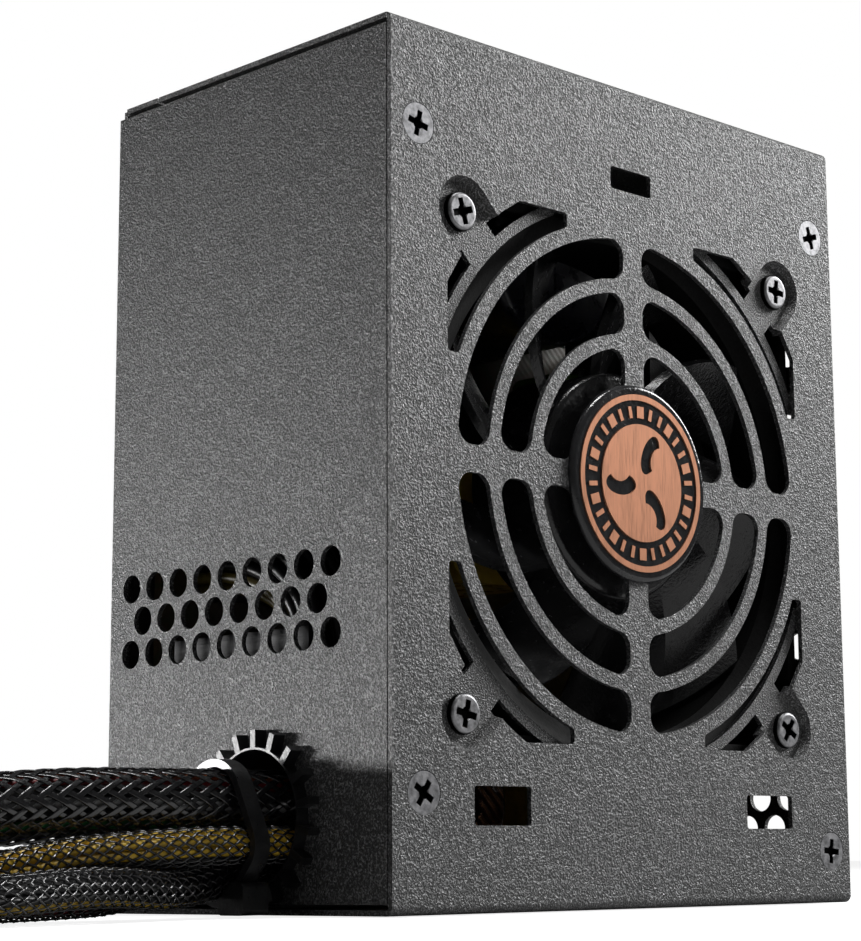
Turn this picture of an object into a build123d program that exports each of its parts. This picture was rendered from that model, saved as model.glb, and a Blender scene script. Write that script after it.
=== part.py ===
from build123d import *
import math
import os

# Small form factor power supply with fixed, braided output cables. Millimetres, +Z up.
# The unit stands on its 100 x 63.5 side: fan face at -Y, cable face at -X, inlet face at +X.
# The origin is the centre of the resting face.

WIDTH = 100.0  # X
DEPTH = 63.5  # Y
HEIGHT = 125.0  # Z
SHEET = 0.8
X_WALL = WIDTH / 2
Y_FACE = -DEPTH / 2
Y_BACK = DEPTH / 2
BEND_OUT = 1.5
RETURN_DEPTH = 9.5
FLANGE = 8.4
CORNER_GAP = 5.0
WALL_GAP = 0.7

# Cover screws, as (X, Z), countersunk into the fan face
COVER_SCREWS = [(-44.8, 109.6), (44.9, 109.3), (-44.2, 16.2), (45.3, 8.1)]
HEAD_R = 2.95
HEAD_DEPTH = 1.45
SCREW_R = 1.5
SCREW_TURNS = (12.0, -17.0, 33.0, 5.0)

# Slots in the fan face, as (X, Z, width, height)
SLOTS = [(0.0, 109.95, 9.2, 3.5), (-29.15, 14.6, 11.1, 5.4), (29.8, 14.15, 11.2, 5.1)]

# Fan, centred on the fan face
FAN_Z = HEIGHT / 2 + 0.35
FAN_SIZE = 80.0
FAN_DEPTH = 15.0
FAN_HOLE = 35.75
FAN_SCREWS = [(sx * FAN_HOLE, FAN_Z + sz * FAN_HOLE) for sx in (-1, 1) for sz in (-1, 1)]
PAD_DEPTH = 1.3
FAN_FRONT = Y_FACE + PAD_DEPTH + SHEET
FAN_BACK = FAN_FRONT + FAN_DEPTH
DUCT_R = 38.0
MOUTH_R = 42.3
HUB_R = 17.5
BLADE_TIP_R = 37.0
BLADE_COUNT = 9
SHAFT_R = 1.5
SHAFT_CLEARANCE = 0.04
HUB_FRONT = FAN_FRONT + 0.9
BLADE_BACK = FAN_BACK - 3.4

# Grille
SLOT_RINGS = [(13.9, 20.75), (22.9, 29.25), (31.4, 37.6)]
SLOT_END_R = 2.5
SPOKE_UP = 4.2
SPOKE_ACROSS = 4.0
CORNER_R = 39.95
STRIP_R = (42.2, 43.9)
TONGUE = 7.0
BADGE_R = 15.05
BADGE_RISE = 0.9

# Cable outlet, in the cable face
EXIT_Y = -5.0
EXIT_Z = 13.4
GROMMET_R = 9.45
GROMMET_WALL = 0.3
TOOTH_REACH = 12.2
TOOTH_WIDTH = 1.05
TOOTH_COUNT = 18
TOOTH_RISE = 2.0

# Vents
VENT_R = 2.15
VENT_PITCH = 5.73
VENT_ROW = 4.96

# Inlet face
MOUNT_Y = 51.5
MOUNT_Z = 113.0
MOUNT_R = 1.5
INLET_Y = 2.0
INLET_Z = 88.0
INLET_BACK = X_WALL - 19.0
INLET_PINS = [(INLET_Y - 1.0, INLET_Z - 7.0), (INLET_Y - 1.0, INLET_Z + 7.0), (INLET_Y + 3.0, INLET_Z)]
TAB_BACK = INLET_BACK - 5.0
SWITCH_Z = 47.0
ROCKER_X = X_WALL - 1.4
ROCKER_TILT = 10.0
SWITCH_TABS = (SWITCH_Z - 4.5, SWITCH_Z + 4.5)
SWITCH_TAB_BACK = X_WALL - 21.0
WIRE_R = 1.05
WIRE_DROP = 3.0
LUG_START = X_WALL - 6.8
LUG_Y = 18.0
LUG_Z = 84.0

# Board and what stands on it
BOARD_FRONT = Y_BACK - SHEET - 4.0 - 1.6
BOARD_BACK = BOARD_FRONT + 1.6
STANDOFFS = [(sx * 41.5, z) for sx in (-1, 1) for z in (8.5, 116.5)]
SINK_THICK = 2.5
PRIMARY_SINK_X = 16.0
SECONDARY_SINK_X = -21.5

# Free cables: diameter and route. Each list is the route's points, in order.
MAIN_D = 9.8
CPU_D = 5.4
GRAPHICS_D = 5.4
DRIVE_D = 5.2
MAIN_ROUTE = [
    (-44.0, -5.0, 15.25), (-62.0, -5.0, 15.25), (-81.5, -1.6, 15.2), (-102.5, -0.9, 13.2),
    (-120.8, 13.2, 9.6), (-127.9, 35.2, 6.6), (-120.6, 57.4, 5.2), (-101.6, 71.0, 4.95),
    (-76.0, 73.2, 5.0), (-48.0, 70.8, 4.95), (-22.0, 72.0, 5.4), (4.0, 71.0, 9.0),
    (28.5, 71.4, 12.7), (50.0, 71.4, 12.7),
]
CPU_ROUTE = [
    (-44.0, -10.4, 9.6), (-55.0, -10.4, 9.6), (-70.0, -9.8, 9.3), (-87.0, -6.2, 7.9),
    (-109.0, -8.6, 3.2), (-134.6, 16.6, 2.75), (-134.4, 53.8, 2.8), (-108.0, 79.8, 2.75),
    (-68.0, 80.6, 2.8), (-24.0, 79.4, 2.75), (14.0, 80.0, 2.9), (44.0, 75.6, 5.0),
    (73.0, 75.6, 5.0),
]
GRAPHICS_ROUTE = [
    (-44.0, -5.0, 6.75), (-55.0, -5.0, 6.75), (-67.0, -8.7, 3.2), (-84.0, -14.6, 4.6),
    (-113.0, -22.8, 2.8), (-147.6, 11.0, 2.75), (-147.4, 59.2, 2.8), (-113.6, 92.8, 2.75),
    (-68.0, 93.6, 2.8), (-22.0, 92.4, 2.75), (20.0, 93.0, 2.9), (50.0, 98.9, 5.0),
    (79.0, 98.9, 5.0),
]
DRIVE_ROUTE = [
    (-44.0, 0.0, 9.45), (-55.0, 0.0, 9.45), (-71.0, -3.6, 3.2), (-88.0, -9.4, 2.65),
    (-111.2, -16.2, 2.7), (-141.0, 13.8, 2.65), (-140.8, 56.4, 2.7), (-111.0, 86.3, 2.65),
    (-66.0, 87.1, 2.7), (-22.0, 85.8, 2.65), (22.0, 86.6, 2.7), (62.0, 87.4, 3.4),
    (101.0, 87.4, 3.4),
]
LOOM_R = 8.0
LOOM_ROUTE = [(-34.0, BOARD_FRONT, 55.0), (-34.0, -5.0, 55.0), (-34.0, -5.0, 12.6), (-44.0, -5.0, 12.6)]

# Cable tie round the four cables: its place, and the circle (Y, Z, radius) that it gives each one
TIE_X = -57.6
TIE_WIDTH = 2.6
TIE_THICK = 1.1
TIE_HELD = [(-4.95, 15.25, 5.05), (-10.3, 9.55, 2.85), (-6.15, 5.65, 3.4), (-1.0, 8.15, 3.35)]

# Plugs
PIN_PITCH = 4.2
PLUG_LENGTH = 19.0
PLUG_THICK = 9.6

parts = {}


# ---------------------------------------------------------------- helpers
def block(x0, x1, y0, y1, z0, z1):
    """A box from its six limits."""
    middle = Pos((x0 + x1) / 2, (y0 + y1) / 2, (z0 + z1) / 2)
    return middle * Box(x1 - x0, y1 - y0, z1 - z0)


def rod_x(r, x0, x1, y, z):
    """A cylinder along X."""
    return Pos((x0 + x1) / 2, y, z) * Rot(0, 90, 0) * Cylinder(r, x1 - x0)


def rod_y(r, y0, y1, x, z):
    """A cylinder along Y."""
    return Pos(x, (y0 + y1) / 2, z) * Rot(90, 0, 0) * Cylinder(r, y1 - y0)


def rod_z(r, z0, z1, x, y):
    """A cylinder along Z."""
    return Pos(x, y, (z0 + z1) / 2) * Cylinder(r, z1 - z0)


def cone_y(r0, r1, y0, y1, x, z):
    """A cone along Y, of radius r0 at y0 and r1 at y1."""
    return Pos(x, (y0 + y1) / 2, z) * Rot(-90, 0, 0) * Cone(r0, r1, y1 - y0)


def fan_plane(y):
    """A sketch plane parallel to the fan face, centred on the fan: local x is X and local y is Z."""
    return Plane(origin=(0, y, FAN_Z), x_dir=(1, 0, 0), z_dir=(0, -1, 0))


def side_plane(x, y=0.0, z=0.0):
    """A sketch plane parallel to the side walls: local x is Y and local y is Z."""
    return Plane(origin=(x, y, z), x_dir=(0, 1, 0), z_dir=(1, 0, 0))


def pull(sketch, plane, amount):
    """Extrude a sketch, drawn about the origin, from a plane along its normal."""
    return extrude(plane * sketch, amount, dir=plane.z_dir)


def cross_recess(size, width, depth, y, x, z, turn=0.0):
    """The cutter of a cross drive in a screw head that faces -Y, turned by an angle."""
    upright = block(x - width / 2, x + width / 2, y, y + depth, z - size / 2, z + size / 2)
    level = block(x - size / 2, x + size / 2, y, y + depth, z - width / 2, z + width / 2)
    cross = upright + level + cone_y(width, width / 2, y, y + depth, x, z)
    return cross.rotate(Axis((x, y, z), (0, 1, 0)), turn)


def rounded(shape, axis, radius):
    """Round the edges of a shape that run along an axis."""
    return fillet(shape.edges().filter_by(axis), radius)


def vent_cutters(first_y, count, z, x0, x1):
    """One row of round vent cutters through a side wall."""
    return [rod_x(VENT_R, x0, x1, first_y - k * VENT_PITCH, z) for k in range(count)]


# ---------------------------------------------------------------- casing
def slot_openings():
    """The arc slots of the fan grille, as a sketch."""
    slots = Sketch()
    for inner, outer in SLOT_RINGS:
        ring = Circle(outer) - Circle(inner) - Rectangle(SPOKE_UP, 90) - Rectangle(90, SPOKE_ACROSS)
        slots += fillet(ring.vertices(), SLOT_END_R)
    return slots


def corner_outline():
    """The opening in the upper right corner of the grille, between the outer band and a cut corner."""
    upper = [(14.5, 14.8), (14.5, 39.4), (24.4, 39.4), (28.5, 36.8)]
    lower = [(36.4, 29.2), (39.3, 24.8), (39.3, 14.8)]
    corner = Polygon(*upper, *lower, align=None) - Circle(CORNER_R)
    return fillet(corner.vertices(), 0.6)


def corner_strip():
    """The sunken strip along that opening, as long as the opening and a little more."""
    inner, outer = STRIP_R
    return (Circle(outer) - Circle(inner)) & (Pos(29, 29) * Rectangle(26, 26))


def pad_outline(radius):
    """A fan-screw pad in the upper right corner: round at the screw, open towards the fan."""
    reach = 8.0
    step = reach / math.sqrt(2) / 2
    middle = Pos(FAN_HOLE - step, FAN_HOLE - step) * Rot(0, 0, 45)
    return middle * SlotOverall(reach + 2 * radius, 2 * radius)


def in_all_corners(shape):
    """A shape in the upper right corner of the fan face, and its three mirror images."""
    middle = Plane(origin=(0, 0, FAN_Z), z_dir=(0, 0, 1))
    pair = shape + mirror(shape, Plane.YZ)
    return pair + mirror(pair, middle)


def fan_cover():
    """Folded cover: the fan face with the top and bottom walls."""
    shell = block(-X_WALL, X_WALL, Y_FACE, Y_BACK - RETURN_DEPTH - 0.5, 0, HEIGHT)
    front = shell.edges().filter_by(Axis.X).group_by(Axis.Y)[0]
    shell = fillet(front, 1.2)
    inside = block(-60, 60, Y_FACE + SHEET, 60, SHEET, HEIGHT - SHEET)
    near = inside.edges().filter_by(Axis.X).group_by(Axis.Y)[0]
    shell -= fillet(near, 0.4)
    floor_y = Y_FACE + PAD_DEPTH
    boss = pull(pad_outline(5.7), fan_plane(floor_y + SHEET), PAD_DEPTH + SHEET)
    boss += pull(corner_strip(), fan_plane(floor_y + SHEET), PAD_DEPTH + 0.1)
    outer_ring = rod_y(CORNER_R, Y_FACE - 2, floor_y + SHEET + 2, 0, FAN_Z)
    shell += in_all_corners(boss - outer_ring)
    recess = extrude(fan_plane(floor_y) * pad_outline(4.3), PAD_DEPTH, taper=-32)
    recess += pull(corner_outline(), fan_plane(floor_y), PAD_DEPTH + 1)
    shell -= in_all_corners(recess - outer_ring)
    tongue = Rot(0, 0, 45) * (Pos(STRIP_R[0] + 10, 0) * Rectangle(20, TONGUE))
    notches = corner_outline() - corner_strip() - tongue
    shell -= in_all_corners(pull(notches, fan_plane(floor_y + SHEET + 1), 5))
    shell -= pull(slot_openings(), fan_plane(floor_y + SHEET + 1), 5)
    for x, z, wide, high in SLOTS:
        slot = block(x - wide / 2, x + wide / 2, -33, -30, z - high / 2, z + high / 2)
        shell -= rounded(slot, Axis.Y, 0.5)
    for x, z in FAN_SCREWS:
        shell -= rod_y(1.9, -33, -28, x, z)
    for x, z in COVER_SCREWS:
        shell -= cone_y(HEAD_R + 0.12, SCREW_R, Y_FACE, Y_FACE + HEAD_DEPTH, x, z)
    return shell


def base_flange(side):
    """A front flange of the base, under the cover's edge."""
    x0, x1 = sorted((side * X_WALL, side * (X_WALL - FLANGE)))
    y0 = Y_FACE + SHEET
    return block(x0, x1, y0, y0 + SHEET, CORNER_GAP, HEIGHT - CORNER_GAP)


def base_wall(side):
    """A side wall of the base with its front flange, bent along Z."""
    x0, x1 = sorted((side * X_WALL, side * (X_WALL - SHEET)))
    y0 = Y_FACE + SHEET
    low = SHEET + WALL_GAP
    wall = block(x0, x1, y0 + 0.2, Y_BACK - 0.2, low, HEIGHT - low)
    bent = block(x0, x1, y0, Y_BACK - 0.2, CORNER_GAP, HEIGHT - CORNER_GAP) + base_flange(side)
    outer = bent.edges().filter_by(Axis.Z).filter_by_position(Axis.Y, y0 - 0.01, y0 + 0.01)
    corner = [e for e in outer if abs(abs(e.center().X) - X_WALL) < 0.01]
    bent = fillet(corner, BEND_OUT)
    return wall, bent


def vents_in_cable_wall():
    """Three staggered rows of vents above the cable outlet."""
    x0, x1 = -X_WALL - 1, -X_WALL + SHEET + 1
    rows = vent_cutters(26.6, 9, 48.3, x0, x1)
    rows += vent_cutters(26.6 - VENT_PITCH / 2, 8, 48.3 - VENT_ROW, x0, x1)
    return rows + vent_cutters(26.6, 9, 48.3 - 2 * VENT_ROW, x0, x1)


def vents_in_inlet_wall():
    """Staggered rows of vents below the switch, and a column along each edge."""
    x0, x1 = X_WALL - SHEET - 1, X_WALL + 1
    cutters = []
    for row in range(5):
        offset = VENT_PITCH / 2 * (row % 2)
        cutters += vent_cutters(22.9 - offset, 9 - row % 2, 12.0 + row * VENT_ROW, x0, x1)
    for row in range(5, 21):
        offset = VENT_PITCH / 2 * (row % 2)
        z = 12.0 + row * VENT_ROW
        cutters += vent_cutters(28.0 - offset, 2 - row % 2, z, x0, x1)
        cutters += vent_cutters(-17.3 - offset, 2 - row % 2, z, x0, x1)
    return cutters


def inlet_outline(wide, high, cut):
    """The six-sided face of an appliance inlet, wide along Z, as a sketch on a side plane."""
    w, h = wide / 2, high / 2
    points = [(-h, -w), (h - cut, -w), (h, -w + cut), (h, w - cut), (h - cut, w), (-h, w)]
    return Polygon(*points, align=None)


def casing_base():
    """Folded base: back panel, cable wall, inlet wall, front flanges and the short returns."""
    low = SHEET + WALL_GAP
    back = block(-X_WALL, X_WALL, Y_BACK - SHEET, Y_BACK, 0, HEIGHT)
    for z0 in (0, HEIGHT - SHEET):
        back += block(-X_WALL, X_WALL, Y_BACK - RETURN_DEPTH, Y_BACK, z0, z0 + SHEET)
    for side in (-1, 1):
        wall, bent = base_wall(side)
        back += wall + bent
    for side in (-1, 1):
        for z0 in (-1, HEIGHT - low):
            edge = side * X_WALL
            x0, x1 = sorted((edge + side, edge - side * SHEET))
            back -= block(x0, x1, Y_BACK - 1.7, Y_BACK + 1, z0, z0 + low + 1)
    for cutter in vents_in_cable_wall() + vents_in_inlet_wall():
        back -= cutter
    hole_r = GROMMET_R + GROMMET_WALL
    back -= rod_x(hole_r, -X_WALL - 1, -X_WALL + 2, EXIT_Y, EXIT_Z)
    inlet = inlet_outline(27.4, 20.0, 4.0)
    back -= pull(inlet, side_plane(X_WALL - 2, INLET_Y, INLET_Z), 4)
    for z in (INLET_Z - 20, INLET_Z + 20):
        back -= rod_x(1.7, X_WALL - 2, X_WALL + 1, INLET_Y, z)
    back -= block(X_WALL - 2, X_WALL + 1, INLET_Y - 6.6, INLET_Y + 6.6, SWITCH_Z - 9.7, SWITCH_Z + 9.7)
    for y in (-MOUNT_Y / 2, MOUNT_Y / 2):
        for z in ((HEIGHT - MOUNT_Z) / 2, (HEIGHT + MOUNT_Z) / 2):
            back -= rod_x(MOUNT_R, X_WALL - 2, X_WALL + 1, y, z)
    for x, z in COVER_SCREWS:
        back -= cone_y(HEAD_R + 0.12, SCREW_R, Y_FACE, Y_FACE + HEAD_DEPTH, x, z)
        back -= rod_y(SCREW_R, Y_FACE, Y_FACE + 4, x, z)
    for x, z in STANDOFFS:
        back -= rod_y(1.6, Y_BACK - 2, Y_BACK + 1, x, z)
    return back


def cover_screws():
    """Four countersunk screws with cross recesses."""
    screws = []
    for turn, (x, z) in zip(SCREW_TURNS, COVER_SCREWS):
        head = cone_y(HEAD_R, SCREW_R - 0.05, Y_FACE + 0.02, Y_FACE + HEAD_DEPTH, x, z)
        shank = rod_y(SCREW_R - 0.05, Y_FACE + HEAD_DEPTH, Y_FACE + 6, x, z)
        screws.append(head + shank - cross_recess(3.8, 0.95, 1.0, Y_FACE, x, z, turn))
    return Compound(screws)


def fan_screws():
    """Four pan-head screws in the recessed pads of the fan face."""
    floor_y = Y_FACE + PAD_DEPTH
    screws = []
    for turn, (x, z) in zip(SCREW_TURNS, FAN_SCREWS):
        head = rod_y(2.9, floor_y - 0.95, floor_y, x, z)
        top = head.edges().filter_by(GeomType.CIRCLE).group_by(Axis.Y)[0]
        head = fillet(top, 0.6)
        shank = rod_y(1.8, floor_y, FAN_FRONT + 8, x, z)
        screws.append(head + shank - cross_recess(3.9, 1.0, 0.9, floor_y - 0.95, x, z, turn))
    return Compound(screws)


def board_standoffs():
    """Four posts that hold the main board off the back panel."""
    posts = []
    for x, z in STANDOFFS:
        post = rod_y(2.8, BOARD_BACK, Y_BACK - SHEET, x, z)
        posts.append(post - rod_y(1.3, BOARD_BACK, Y_BACK, x, z))
    return Compound(posts)


def board_screws():
    """Four pan-head screws through the main board."""
    screws = []
    for x, z in STANDOFFS:
        head = rod_y(2.7, BOARD_FRONT - 1.9, BOARD_FRONT, x, z)
        shank = rod_y(1.25, BOARD_FRONT, BOARD_BACK + 3.4, x, z)
        screws.append(head + shank - cross_recess(3.0, 0.7, 1.0, BOARD_FRONT - 1.9, x, z))
    return Compound(screws)


def insulation_sheet():
    """Thin insulating sheet between the board's solder side and the back panel."""
    sheet = block(-47, 47, Y_BACK - SHEET - 0.45, Y_BACK - SHEET - 0.05, 3, 122)
    for x, z in STANDOFFS:
        sheet -= rod_y(3.4, Y_BACK - 3, Y_BACK, x, z)
    return sheet


# ---------------------------------------------------------------- badge
def badge_base():
    """Round plastic badge on the grille's hub."""
    disc = rod_y(BADGE_R, Y_FACE - BADGE_RISE, Y_FACE, 0, FAN_Z)
    front = disc.edges().filter_by(GeomType.CIRCLE).group_by(Axis.Y)[0]
    return fillet(front, 0.8)


def badge_ring():
    """Metal ring of the badge, with evenly spaced plain dashes inside it."""
    y1 = Y_FACE - BADGE_RISE
    y0 = y1 - 0.2
    pieces = [rod_y(13.5, y0, y1, 0, FAN_Z) - rod_y(12.6, y0, y1, 0, FAN_Z)]
    for k in range(30):
        half = 0.35 if k % 3 else 0.75
        mark = block(-half, half, y0 + 0.05, y1, FAN_Z + 9.9, FAN_Z + 11.7)
        pieces.append(mark.rotate(Axis((0, 0, FAN_Z), (0, 1, 0)), 12.0 * k))
    return Compound(pieces)


def badge_emblem():
    """Metal disc of the badge, with three plain fan blades cut out of it."""
    y1 = Y_FACE - BADGE_RISE
    disc = rod_y(8.95, y1 - 0.25, y1, 0, FAN_Z)
    blade = Pos(1.9, 4.4) * (Rot(0, 0, -28) * Ellipse(1.7, 3.3)) - Pos(4.6, 3.2) * Circle(2.6)
    for k in range(3):
        disc -= pull(Rot(0, 0, 120 * k) * blade, fan_plane(Y_FACE), 3)
    return disc


# ---------------------------------------------------------------- fan
def fan_frame():
    """Square fan frame: two flanges, the duct, corner tubes, struts, motor plate and bearing tube."""
    half = FAN_SIZE / 2
    lip = 3.0
    z0, z1 = FAN_Z - half, FAN_Z + half
    front = rounded(block(-half, half, FAN_FRONT, FAN_FRONT + lip, z0, z1), Axis.Y, 3.5)
    rear = rounded(block(-half, half, FAN_BACK - lip, FAN_BACK, z0, z1), Axis.Y, 3.5)
    pocket = Circle(60) - Circle(MOUTH_R + 1.4)
    limits = Pos(26, 26) * RectangleRounded(24.5, 24.5, 2.5)
    web = Rot(0, 0, 45) * Rectangle(130, 7.0)
    around_hole = Pos(FAN_HOLE, FAN_HOLE) * Circle(4.4)
    pockets = pocket & limits
    pockets = pockets - web - around_hole
    front -= in_all_corners(pull(pockets, fan_plane(FAN_FRONT + lip), lip + 1))
    duct = rod_y(DUCT_R + 1.4, FAN_FRONT, FAN_BACK, 0, FAN_Z)
    frame = front + duct + rear
    for x, z in FAN_SCREWS:
        frame += rod_y(4.0, FAN_FRONT, FAN_BACK, x, z)
    frame &= block(-half, half, FAN_FRONT, FAN_BACK, z0, z1)
    frame -= rod_y(DUCT_R, FAN_FRONT - 1, FAN_BACK + 1, 0, FAN_Z)
    mouth = cone_y(MOUTH_R, DUCT_R, FAN_FRONT, FAN_FRONT + 2.6, 0, FAN_Z)
    frame -= mouth & block(-39.2, 39.2, FAN_FRONT, FAN_BACK, FAN_Z - 39.2, FAN_Z + 39.2)
    plate = rod_y(HUB_R + 0.5, FAN_BACK - 1.6, FAN_BACK, 0, FAN_Z)
    for k in range(4):
        strut = block(-1.9, 1.9, FAN_BACK - 2.6, FAN_BACK, FAN_Z + 15.5, FAN_Z + DUCT_R + 0.6)
        plate += strut.rotate(Axis((0, 0, FAN_Z), (0, 1, 0)), 90.0 * k + 24)
    frame += plate
    frame += rod_y(4.2, FAN_BACK - 9.5, FAN_BACK, 0, FAN_Z)
    frame -= rod_y(3.0, FAN_BACK - 10, FAN_BACK - 0.8, 0, FAN_Z)
    for x, z in FAN_SCREWS:
        frame -= rod_y(1.8, FAN_FRONT - 1, FAN_BACK + 1, x, z)
    return frame


def blade_section(radius, chord, thick, pitch, lead, offset):
    """A blade's section on a plane square to its radius, turned by its pitch and swept ahead."""
    angle = math.radians(lead)
    out = (math.sin(angle), 0, math.cos(angle))
    along = (math.cos(angle), 0, -math.sin(angle))
    origin = (out[0] * radius, offset, FAN_Z + out[2] * radius)
    plane = Plane(origin=origin, x_dir=along, z_dir=out)
    section = plane * (Rot(0, 0, pitch) * Rectangle(chord, thick))
    return section.faces()[0]


def fan_rotor():
    """Hub cup with its blades."""
    cup = rod_y(HUB_R, HUB_FRONT, BLADE_BACK, 0, FAN_Z)
    rim = cup.edges().filter_by(GeomType.CIRCLE).group_by(Axis.Y)[0]
    cup = fillet(rim, 1.2)
    middle = (HUB_FRONT + BLADE_BACK) / 2
    blades = []
    for k in range(BLADE_COUNT):
        root = blade_section(HUB_R - 1.0, 11.5, 1.5, 43, 0, middle)
        centre = blade_section(27.0, 14.5, 1.3, 35, 11, middle)
        tip = blade_section(BLADE_TIP_R + 1.5, 17.0, 1.1, 28, 26, middle)
        blade = loft([root, centre, tip])
        blades.append(blade.rotate(Axis((0, 0, FAN_Z), (0, 1, 0)), 360.0 / BLADE_COUNT * k))
    swept = rod_y(BLADE_TIP_R, HUB_FRONT + 0.3, BLADE_BACK, 0, FAN_Z)
    rotor = cup
    for blade in blades:
        rotor += blade & swept
    rotor -= rod_y(HUB_R - 1.3, HUB_FRONT + 1.5, BLADE_BACK + 1, 0, FAN_Z)
    rotor += rod_y(3.0, HUB_FRONT + 1.4, HUB_FRONT + 3.0, 0, FAN_Z)
    rotor -= rod_y(SHAFT_R, HUB_FRONT + 0.8, HUB_FRONT + 4, 0, FAN_Z)
    return rotor


def rotor_magnet():
    """Ring magnet inside the hub cup."""
    outer = rod_y(HUB_R - 1.3, HUB_FRONT + 2.2, BLADE_BACK - 0.3, 0, FAN_Z)
    return outer - rod_y(HUB_R - 2.7, HUB_FRONT + 2.2, BLADE_BACK - 0.3, 0, FAN_Z)


def fan_shaft():
    """Steel shaft pressed into the hub, with the groove of its retaining clip."""
    end = FAN_BACK - 1.2
    shaft = rod_y(SHAFT_R, HUB_FRONT + 0.8, end, 0, FAN_Z)
    groove = rod_y(SHAFT_R + 1, end - 1.2, end - 0.7, 0, FAN_Z) - rod_y(1.1, end - 1.2, end - 0.7, 0, FAN_Z)
    return shaft - groove


def fan_clip():
    """Split retaining clip in the shaft's groove."""
    end = FAN_BACK - 1.2
    ring = rod_y(2.3, end - 1.15, end - 0.75, 0, FAN_Z) - rod_y(1.12, end - 2, end, 0, FAN_Z)
    return ring - block(-0.3, 0.3, end - 2, end, FAN_Z, FAN_Z + 4)


def fan_bearing():
    """Sleeve bearing in the frame's tube, a running fit on the shaft."""
    y0, y1 = FAN_BACK - 9.4, FAN_BACK - 2.6
    return rod_y(3.0, y0, y1, 0, FAN_Z) - rod_y(SHAFT_R + SHAFT_CLEARANCE, y0 - 1, y1 + 1, 0, FAN_Z)


def fan_stator():
    """Four-pole stator with its coils, on the bearing tube."""
    y0, y1 = FAN_BACK - 8.6, FAN_BACK - 4.2
    core = rod_y(6.2, y0, y1, 0, FAN_Z)
    pole = block(-2.0, 2.0, y0 + 0.8, y1 - 0.8, FAN_Z + 5, FAN_Z + 12.5)
    shoe = rod_y(14.2, y0 + 0.8, y1 - 0.8, 0, FAN_Z) - rod_y(12.4, y0, y1, 0, FAN_Z)
    shoe &= block(-6.5, 6.5, y0, y1, FAN_Z + 6, FAN_Z + 16)
    coil = rounded(block(-3.6, 3.6, y0, y1, FAN_Z + 6.6, FAN_Z + 11.8), Axis.Z, 1.5)
    turn = Axis((0, 0, FAN_Z), (0, 1, 0))
    for k in range(4):
        core += (pole + shoe + coil).rotate(turn, 90.0 * k + 45)
    return core - rod_y(4.2, y0 - 1, y1 + 1, 0, FAN_Z)


def fan_circuit_board():
    """Ring-shaped drive board under the stator."""
    y0, y1 = FAN_BACK - 3.4 + 0.6, FAN_BACK - 1.6
    board = rod_y(14.5, y0, y1, 0, FAN_Z) - rod_y(4.2, y0 - 1, y1 + 1, 0, FAN_Z)
    chip = block(-2.2, 2.2, y0 - 0.9, y0, FAN_Z + 7.0, FAN_Z + 10.0)
    return board + chip


def fan_lead():
    """Twin lead from the motor plate, over a strut and down to the fan header."""
    level = FAN_BACK + 1.1
    points = [(16.5, level, 55.6), (31.0, level, 49.0), (31.0, BOARD_FRONT - 8.0, 49.0)]
    return tube(points, 1.0, [5.0])


def fan_plug():
    """Fan header with its plug, on the main board."""
    body = block(28.2, 33.8, BOARD_FRONT - 8.0, BOARD_FRONT, 46.2, 51.8)
    return chamfer(body.edges().filter_by(Axis.Y), 0.5)


# ---------------------------------------------------------------- tubes and cables
def tube(points, radius, radii):
    """A round tube along straight runs joined by tangent arcs."""
    path = FilletPolyline(*points, radius=radii)
    start = Plane(origin=path @ 0, z_dir=path % 0)
    return sweep(start * Circle(radius), path=path)


def arc_radii(points):
    """The largest tangent arc at each corner: 0.45 of the shorter run over tan(half the turn)."""
    radii = []
    for a, b, c in zip(points, points[1:], points[2:]):
        first = Vector(*b) - Vector(*a)
        second = Vector(*c) - Vector(*b)
        half = math.radians(first.get_angle(second)) / 2
        radii.append(0.45 * min(first.length, second.length) / math.tan(half))
    return radii


def free_cable(name, points, diameter):
    """A free cable's plain tube; its radii, length and volume are printed."""
    radii = arc_radii(points)
    path = FilletPolyline(*points, radius=radii)
    start = Plane(origin=path @ 0, z_dir=path % 0)
    solid = sweep(start * Circle(diameter / 2), path=path)
    expected = math.pi * diameter**2 / 4 * path.length
    print(name, "length", round(path.length, 1), "radii", [round(r, 1) for r in radii])
    print(name, "volume over section times length", round(solid.volume / expected, 4))
    return solid


# ---------------------------------------------------------------- cable outlet
def edge_grommet():
    """Toothed edging strip round the cable outlet: a rim, with teeth on both faces of the wall."""
    outer_r = GROMMET_R + GROMMET_WALL
    x0 = -X_WALL - TOOTH_RISE
    x1 = -X_WALL + SHEET + TOOTH_RISE
    rim = rod_x(outer_r, x0, x1, EXIT_Y, EXIT_Z) - rod_x(GROMMET_R, x0 - 1, x1 + 1, EXIT_Y, EXIT_Z)
    turn = Axis((0, EXIT_Y, EXIT_Z), (1, 0, 0))
    for low, high in ((x0, -X_WALL), (-X_WALL + SHEET, x1)):
        for k in range(TOOTH_COUNT):
            sides = (EXIT_Y - TOOTH_WIDTH / 2, EXIT_Y + TOOTH_WIDTH / 2)
            tooth = block(low, high, *sides, EXIT_Z + outer_r - 0.2, EXIT_Z + TOOTH_REACH)
            rim += tooth.rotate(turn, 360.0 / TOOTH_COUNT * k)
    return rim


def bundle_tie():
    """Cable tie: a band drawn round the four cables, with its lock at the lower front."""
    circles = Sketch()
    for y, z, r in TIE_HELD:
        circles += Pos(y, z) * Circle(r)
    inner = make_hull(circles.edges())
    band = offset(inner, TIE_THICK) - inner
    plane = side_plane(TIE_X - TIE_WIDTH / 2)
    tie = pull(band, plane, TIE_WIDTH)
    lock = block(TIE_X - 2.2, TIE_X + 2.2, -12.8, -7.4, 0.2, 4.6)
    tie += rounded(lock, Axis.X, 0.8)
    return tie - pull(inner, side_plane(TIE_X - 5), 10)


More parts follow.
